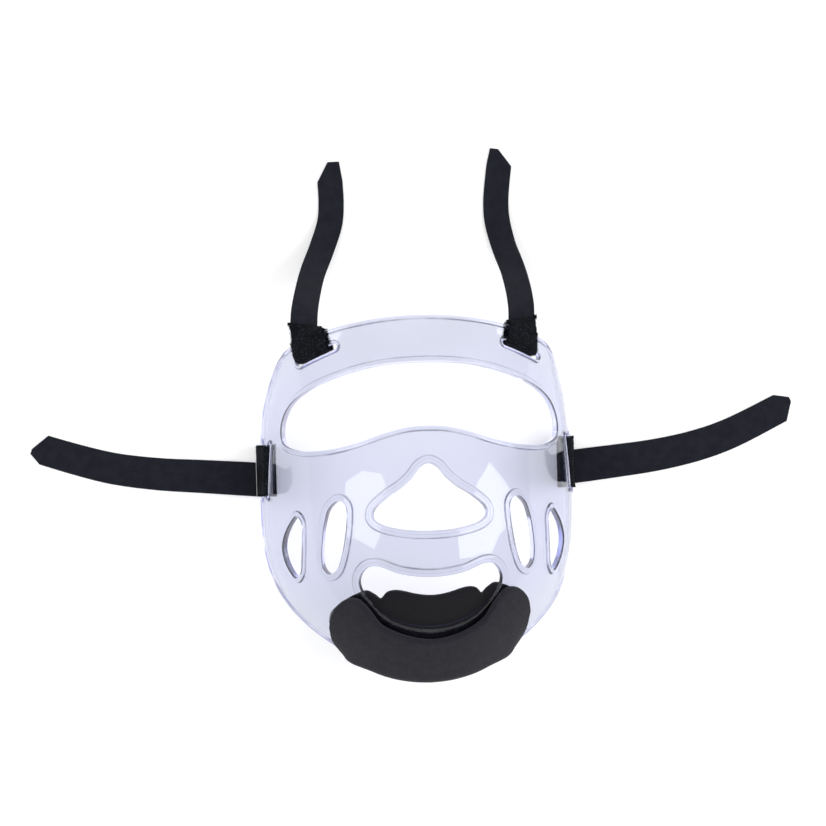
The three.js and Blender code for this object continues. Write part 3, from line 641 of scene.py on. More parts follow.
    def panel(self, loops: list[Array]) -> tuple[Array, Array]:
        """Triangles between outlines, over a lattice of inner places.

        Args:
            loops: the outlines as angles and v, the shield's own among them.

        Returns:
            The inner places as angles and v, and triangles of numbers into the outlines'
            places followed by the inner ones.
        """
        flat = [loop * CHART_SIZE for loop in loops]
        edge = np.concatenate(flat)
        rows = np.arange(-2, 192, self.pitch * 0.87)
        columns = np.arange(-140, 141, self.pitch)
        x, y = np.meshgrid(columns, rows)
        x = x + self.pitch / 2 * (np.arange(len(rows)) % 2)[:, None]
        lattice = np.stack([x.ravel(), y.ravel()], -1)
        lattice = lattice[self.inside(lattice, flat)]
        size = (lattice**2).sum(1)[:, None] + (edge**2).sum(1)
        clear = (size - 2 * lattice @ edge.T).min(1)
        lattice = lattice[clear > (self.pitch * 0.5) ** 2]
        starts = np.cumsum([0] + [len(loop) for loop in flat])
        edges = [
            (int(s + k), int(s + (k + 1) % len(loop)))
            for s, loop in zip(starts, flat)
            for k in range(len(loop))
        ]
        places = np.vstack([edge, lattice])
        corners = [Vector(p) for p in places.tolist()]
        out = delaunay_2d_cdt(corners, edges, [], 0, 1e-6)
        origin = np.array([first[0] for first in out[3]])
        triangles = origin[np.array(out[2])]
        middle = places[triangles].mean(1)
        triangles = triangles[self.inside(middle, flat)]
        return lattice / CHART_SIZE, triangles

    def build(self) -> bpy.types.Object:
        """Makes the shield: rims, and between them an outer and an inner face."""
        charts = [(chart, rim, True) for chart, rim in self.charts()]
        charts.append((self.border(), Rim.EDGE, False))
        parts = [self.rim_rows(*chart) for chart in charts]
        lattice, triangles = self.panel([loop for _, _, loop in parts])
        points, normals, quads, outer, inner, masks = [], [], [], [], [], []
        start = 0
        for (grid, normal, _), (_, rim, _) in zip(parts, charts):
            masks.append(np.tile(rim.profile()[:, 2:], (len(grid), 1)))
            index = start + np.arange(grid.shape[0] * grid.shape[1]).reshape(grid.shape[:2])
            quad = grid_quads(index, True)
            turned = np.cross(grid[1, 0] - grid[0, 0], grid[0, 1] - grid[0, 0])
            quads.append(quad if turned @ normal[0, 0] > 0 else quad[:, ::-1])
            points.append(grid.reshape(-1, 3))
            normals.append(normal.reshape(-1, 3))
            outer.append(index[:, 0])
            inner.append(index[:, -1])
            start += index.size
        angle, v = lattice.T
        face = SHELL.normal(angle, v)
        for height, sign, numbers in ((0.0, 1, outer), (-WALL, -1, inner)):
            points.append(SHELL.raised(angle, v, np.full(len(lattice), height)))
            normals.append(face * sign)
            numbers.append(start + np.arange(len(lattice)))
            start += len(lattice)
        outer, inner = np.concatenate(outer), np.concatenate(inner)
        spots = np.concatenate(points)
        first = outer[triangles]
        a, b, c = (spots[first[:, k]] for k in range(3))
        way = (np.cross(b - a, c - a) * np.concatenate(normals)[first[:, 0]]).sum(1)
        first = np.where((way > 0)[:, None], first, first[:, ::-1])
        back = inner[triangles]
        back = np.where((way > 0)[:, None], back[:, ::-1], back)
        # Masks for the painted shade lines along the beads and for the cut edges.
        masks = np.concatenate(masks + [np.zeros((2 * len(lattice), 2))])
        skin = Skin(
            spots, [np.concatenate(quads), np.concatenate([first, back])],
            np.concatenate(normals), marks={"painted_shade_line": masks[:, 0], "cut_edge": masks[:, 1]},
        )
        return skin.object("clear_shield")


# ------------------------------------------------------------------------ chin pad


@dataclass(frozen=True)
class ChinPad:
    """The foam pad: one sheet folded over the chin edge, with a low flap in front and a
    high flap with a wavy edge behind.

    Each row is a section from the middle to one end: the front flap's edge and the back
    flap's edge as degrees round the shell and v, the fold's degrees, and how far the
    fold hangs below the shell.
    """

    rows: tuple = (
        (0, 0.902, 0, 0.801, 0, 6.9), (3.5, 0.9, 3.5, 0.799, 3.5, 6.8),
        (7, 0.896, 7.5, 0.794, 7, 6.7), (10.5, 0.89, 11, 0.788, 10.5, 6.5),
        (13.5, 0.883, 14.5, 0.786, 14, 6.2), (16, 0.875, 17.5, 0.793, 17, 5.8),
        (18.5, 0.864, 20, 0.813, 19.5, 5.3), (20.5, 0.845, 22.5, 0.801, 22, 4.7),
        (23, 0.82, 26, 0.792, 24.5, 4.5), (26.7, 0.798, 31.2, 0.812, 27.2, 4.6),
        (31.6, 0.807, 36.7, 0.846, 29.8, 4.7), (36.2, 0.847, 41.2, 0.886, 32, 3.7),
        (38.4, 0.902, 42.6, 0.925, 33.6, 1),
    )
    tilt: float = 0.014
    shift: float = 0.2
    bulge: float = 2.3
    foam: float = 4.2
    edge: float = 1.9
    stations: int = 190

    def middle(self, shares: Array) -> tuple[Array, Array]:
        """The sheet's middle surface and half its thickness.

        At a share of the way to one end, the rows' values are smoothed by a uniform
        Catmull-Rom curve. The front flap runs over the shell, a half ellipse goes round
        its edge, and the back flap runs up inside. Near the ends the flaps bulge sideways
        by a half sine.
        """
        rows = np.array(self.rows, float)
        last = len(rows) - 1
        t = np.abs(shares) * last
        i = np.minimum(np.floor(t).astype(int), last - 1)
        f = (t - i)[:, None]
        p0, p1, p2, p3 = (rows[np.clip(i + k, 0, last)] for k in (-1, 0, 1, 2))
        bend = 2 * p0 - 5 * p1 + 4 * p2 - p3, -p0 + 3 * p1 - 3 * p2 + p3
        values = p1 + ((p2 - p0) * f + bend[0] * f**2 + bend[1] * f**3) / 2
        side = np.sign(shares)[:, None]
        degrees = np.radians(values[:, [0, 2, 4]] * side + self.shift)
        bulge = math.radians(self.bulge) * side * shares[:, None] ** 8
        tops = values[:, [1, 3]] - (self.tilt * shares * np.abs(shares))[:, None]
        depth, foot = values[:, 5:], degrees[:, 2:]
        thick = self.foam * (0.3 + 0.7 * depth / self.rows[0][5])
        front_in, back_in = BEAD_RISE + CURVED_GAP, -WALL - CURVED_GAP
        # Shares of the way down a flap, closest together at its rounded edge.
        fine = np.array([0, 0.003, 0.01, 0.022, 0.04, 0.065, 0.1])
        f = np.concatenate([fine, np.linspace(0.15, 0.97, 12)])[None]
        share_thick = self.foam + (thick - self.foam) * np.clip(f, 0, 1) ** 2
        runs = []
        for k, (start, way) in enumerate(((front_in, 1), (back_in, -1))):
            angle = degrees[:, k : k + 1] + (foot - degrees[:, k : k + 1]) * f
            angle = angle + bulge * np.sin(math.pi * f**1.4)
            v = tops[:, k : k + 1] + (1 - tops[:, k : k + 1]) * f
            runs.append(SHELL.raised(angle, v, start + way * share_thick / 2))
        turn = np.radians(np.linspace(12, 168, 15))[None, :, None]
        zero = np.ones_like(foot)
        base = SHELL.raised(foot, zero, -WALL / 2 * zero)
        out = SHELL.normal(foot, zero)
        down = unit(SHELL.point(foot, zero * 1.01) - SHELL.point(foot, zero * 0.99))
        hollow = np.maximum(depth - self.foam, CURVED_GAP)
        centre = (front_in + back_in + WALL) / 2
        width = (front_in - back_in) / 2 + thick[:, :, None] / 2
        reach = ((depth + hollow) / 2)[:, :, None]
        arc = base + out * (centre + width * np.cos(turn)) + down * reach * np.sin(turn)
        points = np.concatenate([runs[0], arc, runs[1][:, ::-1]], 1)
        side_half, foot_half = thick / 2, (depth - hollow) / 2
        round_half = side_half + (foot_half - side_half) * np.sin(turn[0, :, 0]) ** 2
        flap = share_thick / 2
        return points, np.concatenate([flap, round_half, flap[:, ::-1]], 1)

    def build(self) -> bpy.types.Object:
        """Makes the pad, its cut edges rounded off."""
        shares = np.linspace(-1, 1, self.stations)
        # The last stations close up, for the rounded end edges.
        ends = 1 - np.array([0, 0.0006, 0.002, 0.0045, 0.0085])
        shares = np.concatenate([-ends, shares[1:-1], ends[::-1]])
        middle, half = self.middle(shares)
        across = np.linalg.norm(np.diff(middle, axis=1), axis=-1)
        along = np.linalg.norm(np.diff(middle, axis=0), axis=-1)
        from_front = np.hstack([np.zeros((len(shares), 1)), across.cumsum(1)])
        from_left = np.vstack([np.zeros((1, middle.shape[1])), along.cumsum(0)])
        distance = np.minimum.reduce([
            from_front, from_front[:, -1:] - from_front,
            from_left, from_left[-1:] - from_left,
        ])
        half = half * edge_profile(distance, self.edge) ** 0.8
        half[[0, -1]] = 0
        half[:, [0, -1]] = 0
        pattern = np.stack([from_left, from_front], -1)
        skin = slab(middle, half, pattern=pattern)
        # The back flap, past the fold, is shaded.
        behind = np.clip((from_front / from_front[:, -1:] - 0.52) / 0.1, 0, 1).ravel()
        inner = np.ones(half.shape, bool)
        inner[[0, -1]] = inner[:, [0, -1]] = False
        skin.marks["shaded"] = np.concatenate([behind, behind[inner.ravel()]])
        return skin.object("foam_chin_pad")


# -------------------------------------------------------------------------- straps


@dataclass(frozen=True)
class Strap:
    """A woven strap along a route of points with a roll about its run, in degrees, cut
    across at its end.

    The tip gives the length of the cut, and the width and offset across of what is left.
    """

    node: str
    route: tuple
    width: tuple[float, float]
    tip: tuple[float, float, float]
    root_along_y: bool = False
    root_ease: float = 8.0
    selvedge: float = 1.3
    groove_half: float = 0.28
    groove_share: float = 0.16
    edge: float = 0.55
    pitch: float = 1.6
    column: float = 0.55
    samples: int = 1500

    def build(self) -> bpy.types.Object:
        """Makes the strap.

        Its middle line is a centripetal Catmull-Rom curve. A row across the tape stands
        square to the line, level but for the roll, and no lower than the surface that
        the mask lies on. A root along Y is cut off along the loop beside it. The tape is
        thinner along the groove inside each selvedge.
        """
        route = np.array(self.route, float)
        samples = np.linspace(0, len(route) - 1, self.samples)
        line = spline(route[:, :3], samples)
        walked = lengths(line)
        total = walked[-1]
        cut_start = total - self.tip[0]
        steps = rounded_steps(total, 0.7, int(total / self.pitch))
        steps = np.unique(np.concatenate([steps, np.linspace(cut_start, total - 0.8, 8)]))
        at = np.interp(steps, walked, samples)
        middle = spline(route[:, :3], at)
        slope = np.gradient(line, axis=0).T
        run = unit(np.stack([np.interp(steps, walked, column) for column in slope], -1))
        roll = np.radians(np.interp(at, np.arange(len(route)), route[:, 3]))[:, None]
        level = unit(np.cross([0, 0, 1.0], run))
        up = np.cross(run, level)
        across = level * np.cos(roll) + up * np.sin(roll)
        up = np.cross(run, across)
        part = np.clip((steps - cut_start) / self.tip[0], 0, 1)
        full = (self.width[0] + (self.width[1] - self.width[0]) * steps / total) / 2
        tip_half, offset = self.tip[1] / 2, self.tip[2] * part
        half_width = full + (tip_half - full) * part
        drop = LEVEL * up[:, 2] + half_width * np.abs(across[:, 2])
        middle[:, 2] = np.maximum(middle[:, 2], drop)
        count = int(2 * full.max() / self.column)
        share = rounded_steps(2.0, 0.09, count) - 1
        grid = middle[:, None] + across[:, None] * (
            offset[:, None, None] + share[None, :, None] * half_width[:, None, None]
        )
        if self.root_along_y:
            eased = np.clip(1 - steps / self.root_ease, 0, 1)[:, None] ** 1.5
            grid[..., 0] -= eased * (grid[..., 0] - middle[:, :1])
        to_side = (1 - np.abs(share))[None] * half_width[:, None]
        to_end = np.minimum(steps, total - steps)[:, None]
        body = edge_profile(np.minimum(to_side, to_end), self.edge) ** 0.7
        groove = np.exp(-(((to_side - self.selvedge) / self.groove_half) ** 2))
        half = TAPE / 2 * body * (1 - self.groove_share * groove)
        half[[0, -1]] = 0
        half[:, [0, -1]] = 0
        beside = share[None] * half_width[:, None] + offset[:, None]
        pattern = np.stack([beside, np.broadcast_to(steps[:, None], beside.shape)], -1)
        return slab(grid, half, pattern=pattern).object(f"woven_{self.node}")


SIDE_STRAPS = (
    Strap(
        "side_strap_left",
        (
            (-96.7, 17.5, LEVEL, 0), (-128, 20.2, LEVEL, 0), (-156, 22.6, LEVEL, 0),
            (-182, 26.7, LEVEL, 0), (-203, 32.5, LEVEL, 0), (-229.5, 41.2, LEVEL, 0),
        ),
        (20.6, 17.9), (7, 3, 3), True,
    ),
    Strap(
        "side_strap_right",
        (
            (96.7, 19.5, LEVEL, 0), (123.6, 22.2, LEVEL, 0), (147.5, 25, LEVEL, 0),
            (172, 29.8, LEVEL, 0), (193, 36.4, LEVEL, 0), (233, 54.9, LEVEL, 0),
        ),
        (20.6, 17.9), (8, 3, 2), True,
    ),
)
TOP_STRAPS = (
    Strap(
        "top_strap_left",
        (
            (-66.6, 106.6, 42, 8), (-65.9, 114.6, 38.5, 10), (-63.6, 126, 29.8, 15),
            (-59.6, 140, 17.5, 17), (-53.1, 156, 6, 12), (-47.7, 172, 1.6, 4),
            (-46.6, 184, LEVEL, 0), (-46.9, 196, LEVEL, 0), (-47.2, 208.6, LEVEL, 0),
        ),
        (16.2, 15.2), (12, 7, -2.6),
    ),
    Strap(
        "top_strap_right",
        (
            (61.9, 107.5, 42, -28), (62.4, 115, 38.5, -27), (62.2, 126, 29.8, -29),
            (60.6, 140, 17.5, -32), (57, 155, 7, -28), (54, 171, 3, -12),
            (53.9, 183, 1.1, -2), (55.3, 196, LEVEL, 0), (58, 214.3, LEVEL, 0),
        ),
        (16.2, 15.2), (9.5, 5, 4.2),
    ),
)


# ---------------------------------------------------------------------- tape loops


@dataclass(frozen=True)
class TapeLoop:
    """What both kinds of loop share: a closed band of rough tape with a worn edge and a
    pile of fine loops standing out of it."""

    name: str
    node: str
    side: int
    fray: float = 0.5
    edge: float = 0.6
    fibres: int = 2600
    edge_fibres: float = 0.35
    fibre_length: float = 1.7
    fibre_radii: tuple = (0.11, 0.11, 0.1, 0.08, 0.05)
    fibre_sides: int = 3
    seed: int = 5

    def band(self, ring: Array, width_axis: Array, pattern_width: float) -> Skin:
        """A band of tape.

        Args:
            ring: the band's middle surface, round the loop by across the tape.
            width_axis: place across the tape of each column, -1 to 1.
            pattern_width: the tape's width.

        Returns:
            The band, its two side edges rounded and worn uneven by a sum of three waves.
        """
        round_loop = np.linalg.norm(np.roll(ring, -1, 0) - ring, axis=-1).mean(1).cumsum()
        wave = (
            np.sin(round_loop * 1.9 + self.seed)
            + 0.7 * np.sin(round_loop * 4.3 + 2.1 * self.seed)
            + 0.5 * np.sin(round_loop * 8.9 + 1.3 * self.seed)
        ) / 2.2
        outwards = unit(ring[:, -1] - ring[:, 0])[:, None]
        share = np.sign(width_axis) * np.abs(width_axis) ** 6
        other = np.roll(wave, len(wave) // 3)
        ragged = np.where(width_axis[None] > 0, wave[:, None], other[:, None]) - 0.4
        ring = ring + outwards * (share[None] * ragged * self.fray)[..., None]
        to_side = (1 - np.abs(width_axis)) * pattern_width / 2
        half = np.tile(TAPE / 2 * edge_profile(to_side, self.edge) ** 0.7, (len(ring), 1))
        half[:, [0, -1]] = 0
        beside = width_axis[None] * pattern_width / 2
        place = np.stack(np.broadcast_arrays(beside, round_loop[:, None]), -1)
        return slab(ring, half, True, place)

    def pile(self, ring: Array) -> Skin:
        """Short curled fibres on the outer face and the side edges of a band.

        A fibre starts at an even random place of the middle surface, a little under the
        face, leaves along the normal and leans to one side as the square of its length.
        """
        random = np.random.default_rng(self.seed)
        rows, columns = ring.shape[:2]
        normals = grid_normals(ring, True)
        i = random.integers(0, rows, self.fibres)
        j = random.uniform(0, 1, self.fibres)
        edge = random.uniform(0, 1, self.fibres) < self.edge_fibres
        j = np.where(edge, (j > 0.5) * 1.0, j)
        column = np.clip((j * (columns - 1)).astype(int), 0, columns - 1)
        base = ring[i, column]
        sideways = unit(ring[:, -1] - ring[:, 0])[i] * np.where(j > 0.5, 1, -1)[:, None]
        outward = normals[i, column]
        turned = unit(sideways + outward * random.uniform(-0.5, 0.5, (self.fibres, 1)))
        outward = np.where(edge[:, None], turned, outward)
        start = np.where(edge, -0.3, TAPE / 2 - 0.25)[:, None]
        lean = unit(random.normal(0, 1, (self.fibres, 3)))
        lean = unit(lean - outward * (lean * outward).sum(1, keepdims=True))
        size = random.uniform(0.35, 1, (self.fibres, 1)) * np.where(edge, 1.0, 0.6)[:, None]
        t = np.linspace(0, 1, len(self.fibre_radii))[None, :, None]
        reach = self.fibre_length * size[:, None]
        lines = base[:, None] + outward[:, None] * (start[:, None] + reach * t * (1 - 0.45 * t))
        lines = lines + lean[:, None] * reach * 0.8 * t**2
        lines[..., 2] = np.maximum(lines[..., 2], max(self.fibre_radii) + 0.01)
        skin = swept_tubes(lines, np.array(self.fibre_radii), self.fibre_sides)
        skin.pattern = np.repeat(base[:, :2], len(skin.points) // self.fibres, 0)
        return skin

    def finished(self, ring: Array, width_axis: Array, width: float) -> bpy.types.Object:
        """The band and its pile as one object."""
        return joined([self.band(ring, width_axis, width), self.pile(ring)]).object(self.name)


def width_places(width: float, count: int) -> Array:
    """Places across a tape from -1 to 1, closer together at both edges."""
    return rounded_steps(2.0, 1.2 / width, count) - 1


@dataclass(frozen=True)
class SideLoop(TapeLoop):
    """Wide tape through a side slot and round the bar below it."""

    width: float = 29.5
    centre_y: float = 22.5
    slot_half: float = 16.2
    slot_low: float = 24.0
    notch: float = 12.0
    outer_x: float = 96.4

    def hollow(self) -> Array:
        """Corners of the loop's hollow as X and Z, from its outer foot: it stands clear of
        the wall's outer and inner face at the notch and at the slot."""
        y = self.centre_y + self.slot_half * np.array([-1.0, 0, 1])

        def wall(z: float) -> Array:
            place = SHELL.side_place(1, y, np.full(3, z))
            return SHELL.point(*place)[:, 0]

        inside = WALL + 1.4 * CURVED_GAP
        return np.array([
            (self.outer_x - TAPE, TAPE),
            (wall(self.notch).max() + CURVED_GAP, self.notch + CURVED_GAP),
            (wall(self.slot_low).max() + CURVED_GAP, self.slot_low + CURVED_GAP),
            (wall(self.slot_low).min() - inside, self.slot_low + CURVED_GAP),
            (wall(self.notch).min() - inside - CURVED_GAP, TAPE),
        ])

    def build(self) -> bpy.types.Object:
        """Makes the loop: half a tape outside its hollow, with an arc at each corner,
        carried along Y."""
        hollow = self.hollow()
        after = np.roll(hollow, -1, 0) - hollow
        out = unit(np.stack([after[:, 1], -after[:, 0]], -1))
        before = np.roll(out, 1, 0)
        turn = np.arctan2(before[:, 1], before[:, 0])
        sweep = (np.arctan2(out[:, 1], out[:, 0]) - turn) % (2 * math.pi)
        angle = turn[:, None] + sweep[:, None] * np.linspace(0, 1, 9)
        arcs = np.stack([np.cos(angle), np.sin(angle)], -1) * TAPE / 2
        outline = evenly((hollow[:, None] + arcs).reshape(-1, 2), 150)
        places = width_places(self.width, 44)
        ring = np.empty((len(outline), len(places), 3))
        ring[..., 0] = self.side * outline[:, :1]
        ring[..., 1] = self.centre_y + self.side * places * self.width / 2
        ring[..., 2] = outline[:, 1:]
        return self.finished(self.facing_out(ring), places, self.width)

    @staticmethod
    def facing_out(ring: Array) -> Array:
        """The same ring with its normals away from the loop's middle."""
        centre = ring.mean((0, 1))
        outward = (grid_normals(ring, True) * (ring - centre)).sum()
        return ring if outward > 0 else ring[::-1]


@dataclass(frozen=True)
class TopLoop(TapeLoop):
    """Wide tape through a top slot, round the bar above it, closed at its strap."""

    root: tuple = ()
    beyond: tuple = ()
    slot_width: float = 19.4
    root_width: float = 18.2
    slot_shift: float = -1.2
    gap: float = 0.3
    cover: tuple = ((0.03, -0.5), (0.16, 0), (0.5, 0.1), (0.9, 0.1), (1.08, -0.1))

    def build(self) -> bpy.types.Object:
        """Makes the loop.

        At each place across the tape, a closed line goes up through the slot, over the
        outer face to the forehead edge, on to the strap, and back under the inner face.
        Cover gives places from the slot to the edge and how far the tape lifts there.
        """
        shield = ClearShield()
        slope = math.radians(shield.strap_slot_slope)
        slot_x, slot_y = shield.strap_slot
        root, beyond = np.array(self.root, float), np.array(self.beyond, float)
        run = unit(beyond[:3] - root[:3])
        level = unit(np.cross([0, 0, 1.0], run))
        roll = math.radians(root[3])
        across = level * math.cos(roll) + np.cross(run, level) * math.sin(roll)
        up = np.cross(run, across)
        outwards = np.sign(across[0]) * self.side
        places = width_places(self.slot_width, 30)
        end = root[:3] - run * self.gap
        end = end + across * (places * outwards * self.root_width / 2)[:, None]
        offset = places * self.slot_width / 2
        x = slot_x + self.side * self.slot_shift + offset * math.cos(slope)
        y = slot_y + (x - slot_x) * math.tan(slope)
        edge_x = (x + np.abs(end[:, 0])) / 2
        edge = np.arcsin(self.side * edge_x / SHELL.rows[0][3])
        angle, v = SHELL.place(self.side * x, y)
        front, back = BEAD_RISE + CURVED_GAP + TAPE / 2, -WALL - CURVED_GAP - TAPE / 2

        def on(f: float, height: float) -> Array:
            """A place from the slot, 0, to the forehead edge, 1."""
            heights = np.full(angle.shape, height)
            return SHELL.raised(angle + (edge - angle) * f, v * (1 - f), heights)

        outside = [on(f, front + rise) for f, rise in self.cover]
        inside = [on(f, back - rise) for f, rise in self.cover[::-1]]
        tip = up * TAPE * 0.52
        corners = np.stack([on(0.02, -0.5), *outside, end + tip, end - tip, *inside])
        ring = spline(corners, np.linspace(0, len(corners), 120, endpoint=False), True)
        ring = SideLoop.facing_out(ring)
        return self.finished(ring, places, self.slot_width)


# ------------------------------------------------------------------------ finishes


class NodeCanvas:
    """Adds nodes to a tree in a line or two each."""

    def __init__(self, tree: bpy.types.NodeTree) -> None:
        """Keeps the tree."""
        self.tree = tree

    @classmethod
    def on(cls, block: bpy.types.Material | bpy.types.World) -> "NodeCanvas":
        """A canvas on a material's or world's own tree, emptied."""
        block.use_nodes = True
        block.node_tree.nodes.clear()
        return cls(block.node_tree)

    def feed(self, node: bpy.types.Node, **inputs: object) -> bpy.types.Node:
        """Gives a node's inputs their values or sockets, by name with _ for a space, or by
        number after an n, and returns the node."""
        for key, value in inputs.items():
            numbered = key[0] == "n" and key[1:].isdigit()
            socket = node.inputs[int(key[1:]) if numbered else key.replace("_", " ")]
            if isinstance(value, bpy.types.NodeSocket):
                self.tree.links.new(value, socket)
            else:
                socket.default_value = value
        return node

    def add(self, kind: str, settings: dict | None = None, **inputs: object) -> bpy.types.Node:
        """Adds a node.

        Args:
            kind: the node's type without its ShaderNode prefix.
            settings: its own attributes.
            inputs: values or sockets for its inputs, as for feed.

        Returns:
            The node.
        """
        node = self.tree.nodes.new("ShaderNode" + kind)
        for key, value in (settings or {}).items():
            setattr(node, key, value)
        return self.feed(node, **inputs)

    def math(self, operation: str, a: object, b: object = 0.0) -> bpy.types.NodeSocket:
        """The result of a Math node."""
        return self.add("Math", {"operation": operation}, n0=a, n1=b).outputs[0]

    def product(self, a: object, b: object) -> bpy.types.NodeSocket:
        """One value times another."""
        return self.math("MULTIPLY", a, b)

    def total(self, a: object, b: object) -> bpy.types.NodeSocket:
        """Two values added."""
        return self.math("ADD", a, b)

    def mix(self, share: object, a: object, b: object) -> bpy.types.NodeSocket:
        """A colour between two."""
        return self.add("Mix", {"data_type": "RGBA"}, n0=share, n6=a, n7=b).outputs[2]

    def ramp(self, value: object, *stops: tuple[float, float]) -> bpy.types.NodeSocket:
        """A grey ramp of places and levels."""
        node = self.add("ValToRGB", Fac=value)
        elements = node.color_ramp.elements
        elements[0].position, elements[1].position = stops[0][0], stops[-1][0]
        elements[0].color, elements[1].color = (
            (level, level, level, 1) for _, level in (stops[0], stops[-1])
        )
        for place, level in stops[1:-1]:
            elements.new(place).color = (level, level, level, 1)
        return node.outputs[0]

    def noise(
        self, where: object, scale: float, detail: float = 3.0, rough: float = 0.6
    ) -> bpy.types.NodeSocket:
        """Noise of a scale at a place."""
        look = {"Scale": scale, "Detail": detail, "Roughness": rough}
        return self.add("TexNoise", Vector=where, **look).outputs[0]

    def mask(self, name: str) -> bpy.types.NodeSocket:
        """The value of one of the mesh's masks."""
        return self.add("Attribute", {"attribute_name": name}).outputs["Fac"]

    def place(self) -> bpy.types.NodeSocket:
        """The place on the object."""
        return self.add("TexCoord").outputs["Object"]


def new_group(name: str, inputs: dict[str, tuple], outputs: tuple[str, ...]) -> tuple:
    """A shader node group.

    Args:
        name: its name.
        inputs: socket type and default of each input.
        outputs: names of its outputs, each a value.

    Returns:
        The group, a canvas on it, its inputs' sockets by name and its output node.
    """
    group = bpy.data.node_groups.new(name, "ShaderNodeTree")
    for title, (kind, default) in inputs.items():
        socket = group.interface.new_socket(title, in_out="INPUT", socket_type=kind)
        if default is not None:
            socket.default_value = default
    for title in outputs:
        group.interface.new_socket(title, in_out="OUTPUT", socket_type="NodeSocketFloat")
    source, target = group.nodes.new("NodeGroupInput"), group.nodes.new("NodeGroupOutput")
    return group, NodeCanvas(group), source.outputs, target


def fuzz_group() -> bpy.types.NodeTree:
    """Fibre fuzz: fine noise in two sizes as a height, with pale specks and soft blotches
    as masks."""
    group, canvas, given, target = new_group(
        "fibre_fuzz",
        {"Place": ("NodeSocketVector", None), "Size": ("NodeSocketFloat", 1.0)},
        ("Height", "Specks", "Blotches"),
    )
    scale = {"operation": "SCALE"}
    scaled = canvas.add("VectorMath", scale, n0=given["Place"], Scale=given["Size"]).outputs[0]
    fine = canvas.product(canvas.noise(scaled, 2600, 4, 0.7), 0.6)
    coarse = canvas.product(canvas.noise(scaled, 900, 2), 0.4)
    canvas.feed(
        target,
        Height=canvas.total(fine, coarse),
        Specks=canvas.ramp(canvas.noise(scaled, 1900, 2, 0.5), (0.56, 0), (0.68, 1)),
        Blotches=canvas.ramp(canvas.noise(scaled, 120, 3), (0.35, 0), (0.65, 1)),
    )
    return group


def weave_group() -> bpy.types.NodeTree:
    """A ribbed weave: ribs across the tape and threads along it, each a sine of the
    pattern's place, with a mask for the low places between them, where the cloth gets painted
    shade."""
    group, canvas, given, target = new_group(
        "ribbed_weave",
        {
            "Place": ("NodeSocketVector", None),
            "Rib": ("NodeSocketFloat", 0.55),
            "Thread": ("NodeSocketFloat", 0.7),
        },
        ("Height", "Gaps"),
    )
    across, along, _ = canvas.add("SeparateXYZ", Vector=given["Place"]).outputs

    def turns(place: bpy.types.NodeSocket, pitch: str) -> bpy.types.NodeSocket:
        """A place as an angle that turns once in each pitch."""
        return canvas.product(canvas.math("DIVIDE", place, given[pitch]), 2 * math.pi)

    ribs = canvas.math("SINE", turns(along, "Rib"))
    bent = canvas.total(turns(across, "Thread"), canvas.product(ribs, 0.9))
    threads = canvas.product(canvas.math("SINE", bent), 0.35)
    height = canvas.total(canvas.total(canvas.product(ribs, 0.5), threads), 0.5)
    canvas.feed(target, Height=height, Gaps=canvas.ramp(height, (0, 1), (0.45, 0)))
    return group


@dataclass(frozen=True)
class ClearPlastic:
    """Polished clear plastic with a faint lavender body, which lets lamps through."""

    tint: tuple = (0.08, 0.13, 0.52, 1)
    density: float = 40.0
    face: tuple = (0.75, 0.763, 0.838, 1)
    # Colour of the dark lines along the beads: painted shade.
    painted_shade_line: tuple = (0.075, 0.075, 0.14, 1)
    # Colour of the painted glow in the cut edges.
    painted_edge_glow: tuple = (0.55, 0.55, 0.68, 1)
    lamp_tint: tuple = (0.9, 0.905, 0.955, 1)
    roughness: float = 0.015
    ior: float = 1.5

    def material(self) -> bpy.types.Material:
        """Builds the material: clear glass with a little waviness and fine scuffs, an
        absorbing body, dark lines of painted shade along the beads, cut edges left untinted
        and given a painted glow that stands in for light piped through the plastic, and a clear
        stand-in for lamps' rays."""
        made = bpy.data.materials.new("clear_plastic")
        canvas = NodeCanvas.on(made)
        where = canvas.place()
        wavy = canvas.noise(where, 22, 1)
        bump = canvas.add("Bump", Strength=0.03, Distance=0.0004, Height=wavy)
        scuffs = canvas.ramp(canvas.noise(where, 260, 6, 0.75), (0.6, 0), (0.8, 1))
        # Cut edges: duller, untinted and given a painted glow by emission that stands in for
        # light piped through the plastic.
        cut = canvas.mask("cut_edge")
        dull = canvas.total(canvas.product(cut, 0.16), self.roughness)
        # Dark lines along the beads' foot, middle and lip, broken by noise: painted shade.
        broken = canvas.ramp(canvas.noise(where, 55, 2), (0.38, 0.5), (0.6, 1))
        line = canvas.product(canvas.mask("painted_shade_line"), broken)
        glass = canvas.add(
            "BsdfPrincipled",
            Base_Color=canvas.mix(line, canvas.mix(cut, self.face, WHITE), self.painted_shade_line),
            Roughness=canvas.total(canvas.product(scuffs, 0.04), dull),
            IOR=self.ior,
            Normal=bump.outputs[0],
            Emission_Color=canvas.mix(cut, BLACK, self.painted_edge_glow),
            Emission_Strength=1,
            Transmission_Weight=1,
        )
        through = canvas.add("BsdfTransparent", Color=self.lamp_tint)
        to_lamp = canvas.add("LightPath").outputs["Is Shadow Ray"]
        both = canvas.add("MixShader", n0=to_lamp, n1=glass.outputs[0], n2=through.outputs[0])
        body = canvas.add("VolumeAbsorption", Color=self.tint, Density=self.density)
        canvas.add("OutputMaterial", Surface=both.outputs[0], Volume=body.outputs[0])
        return made


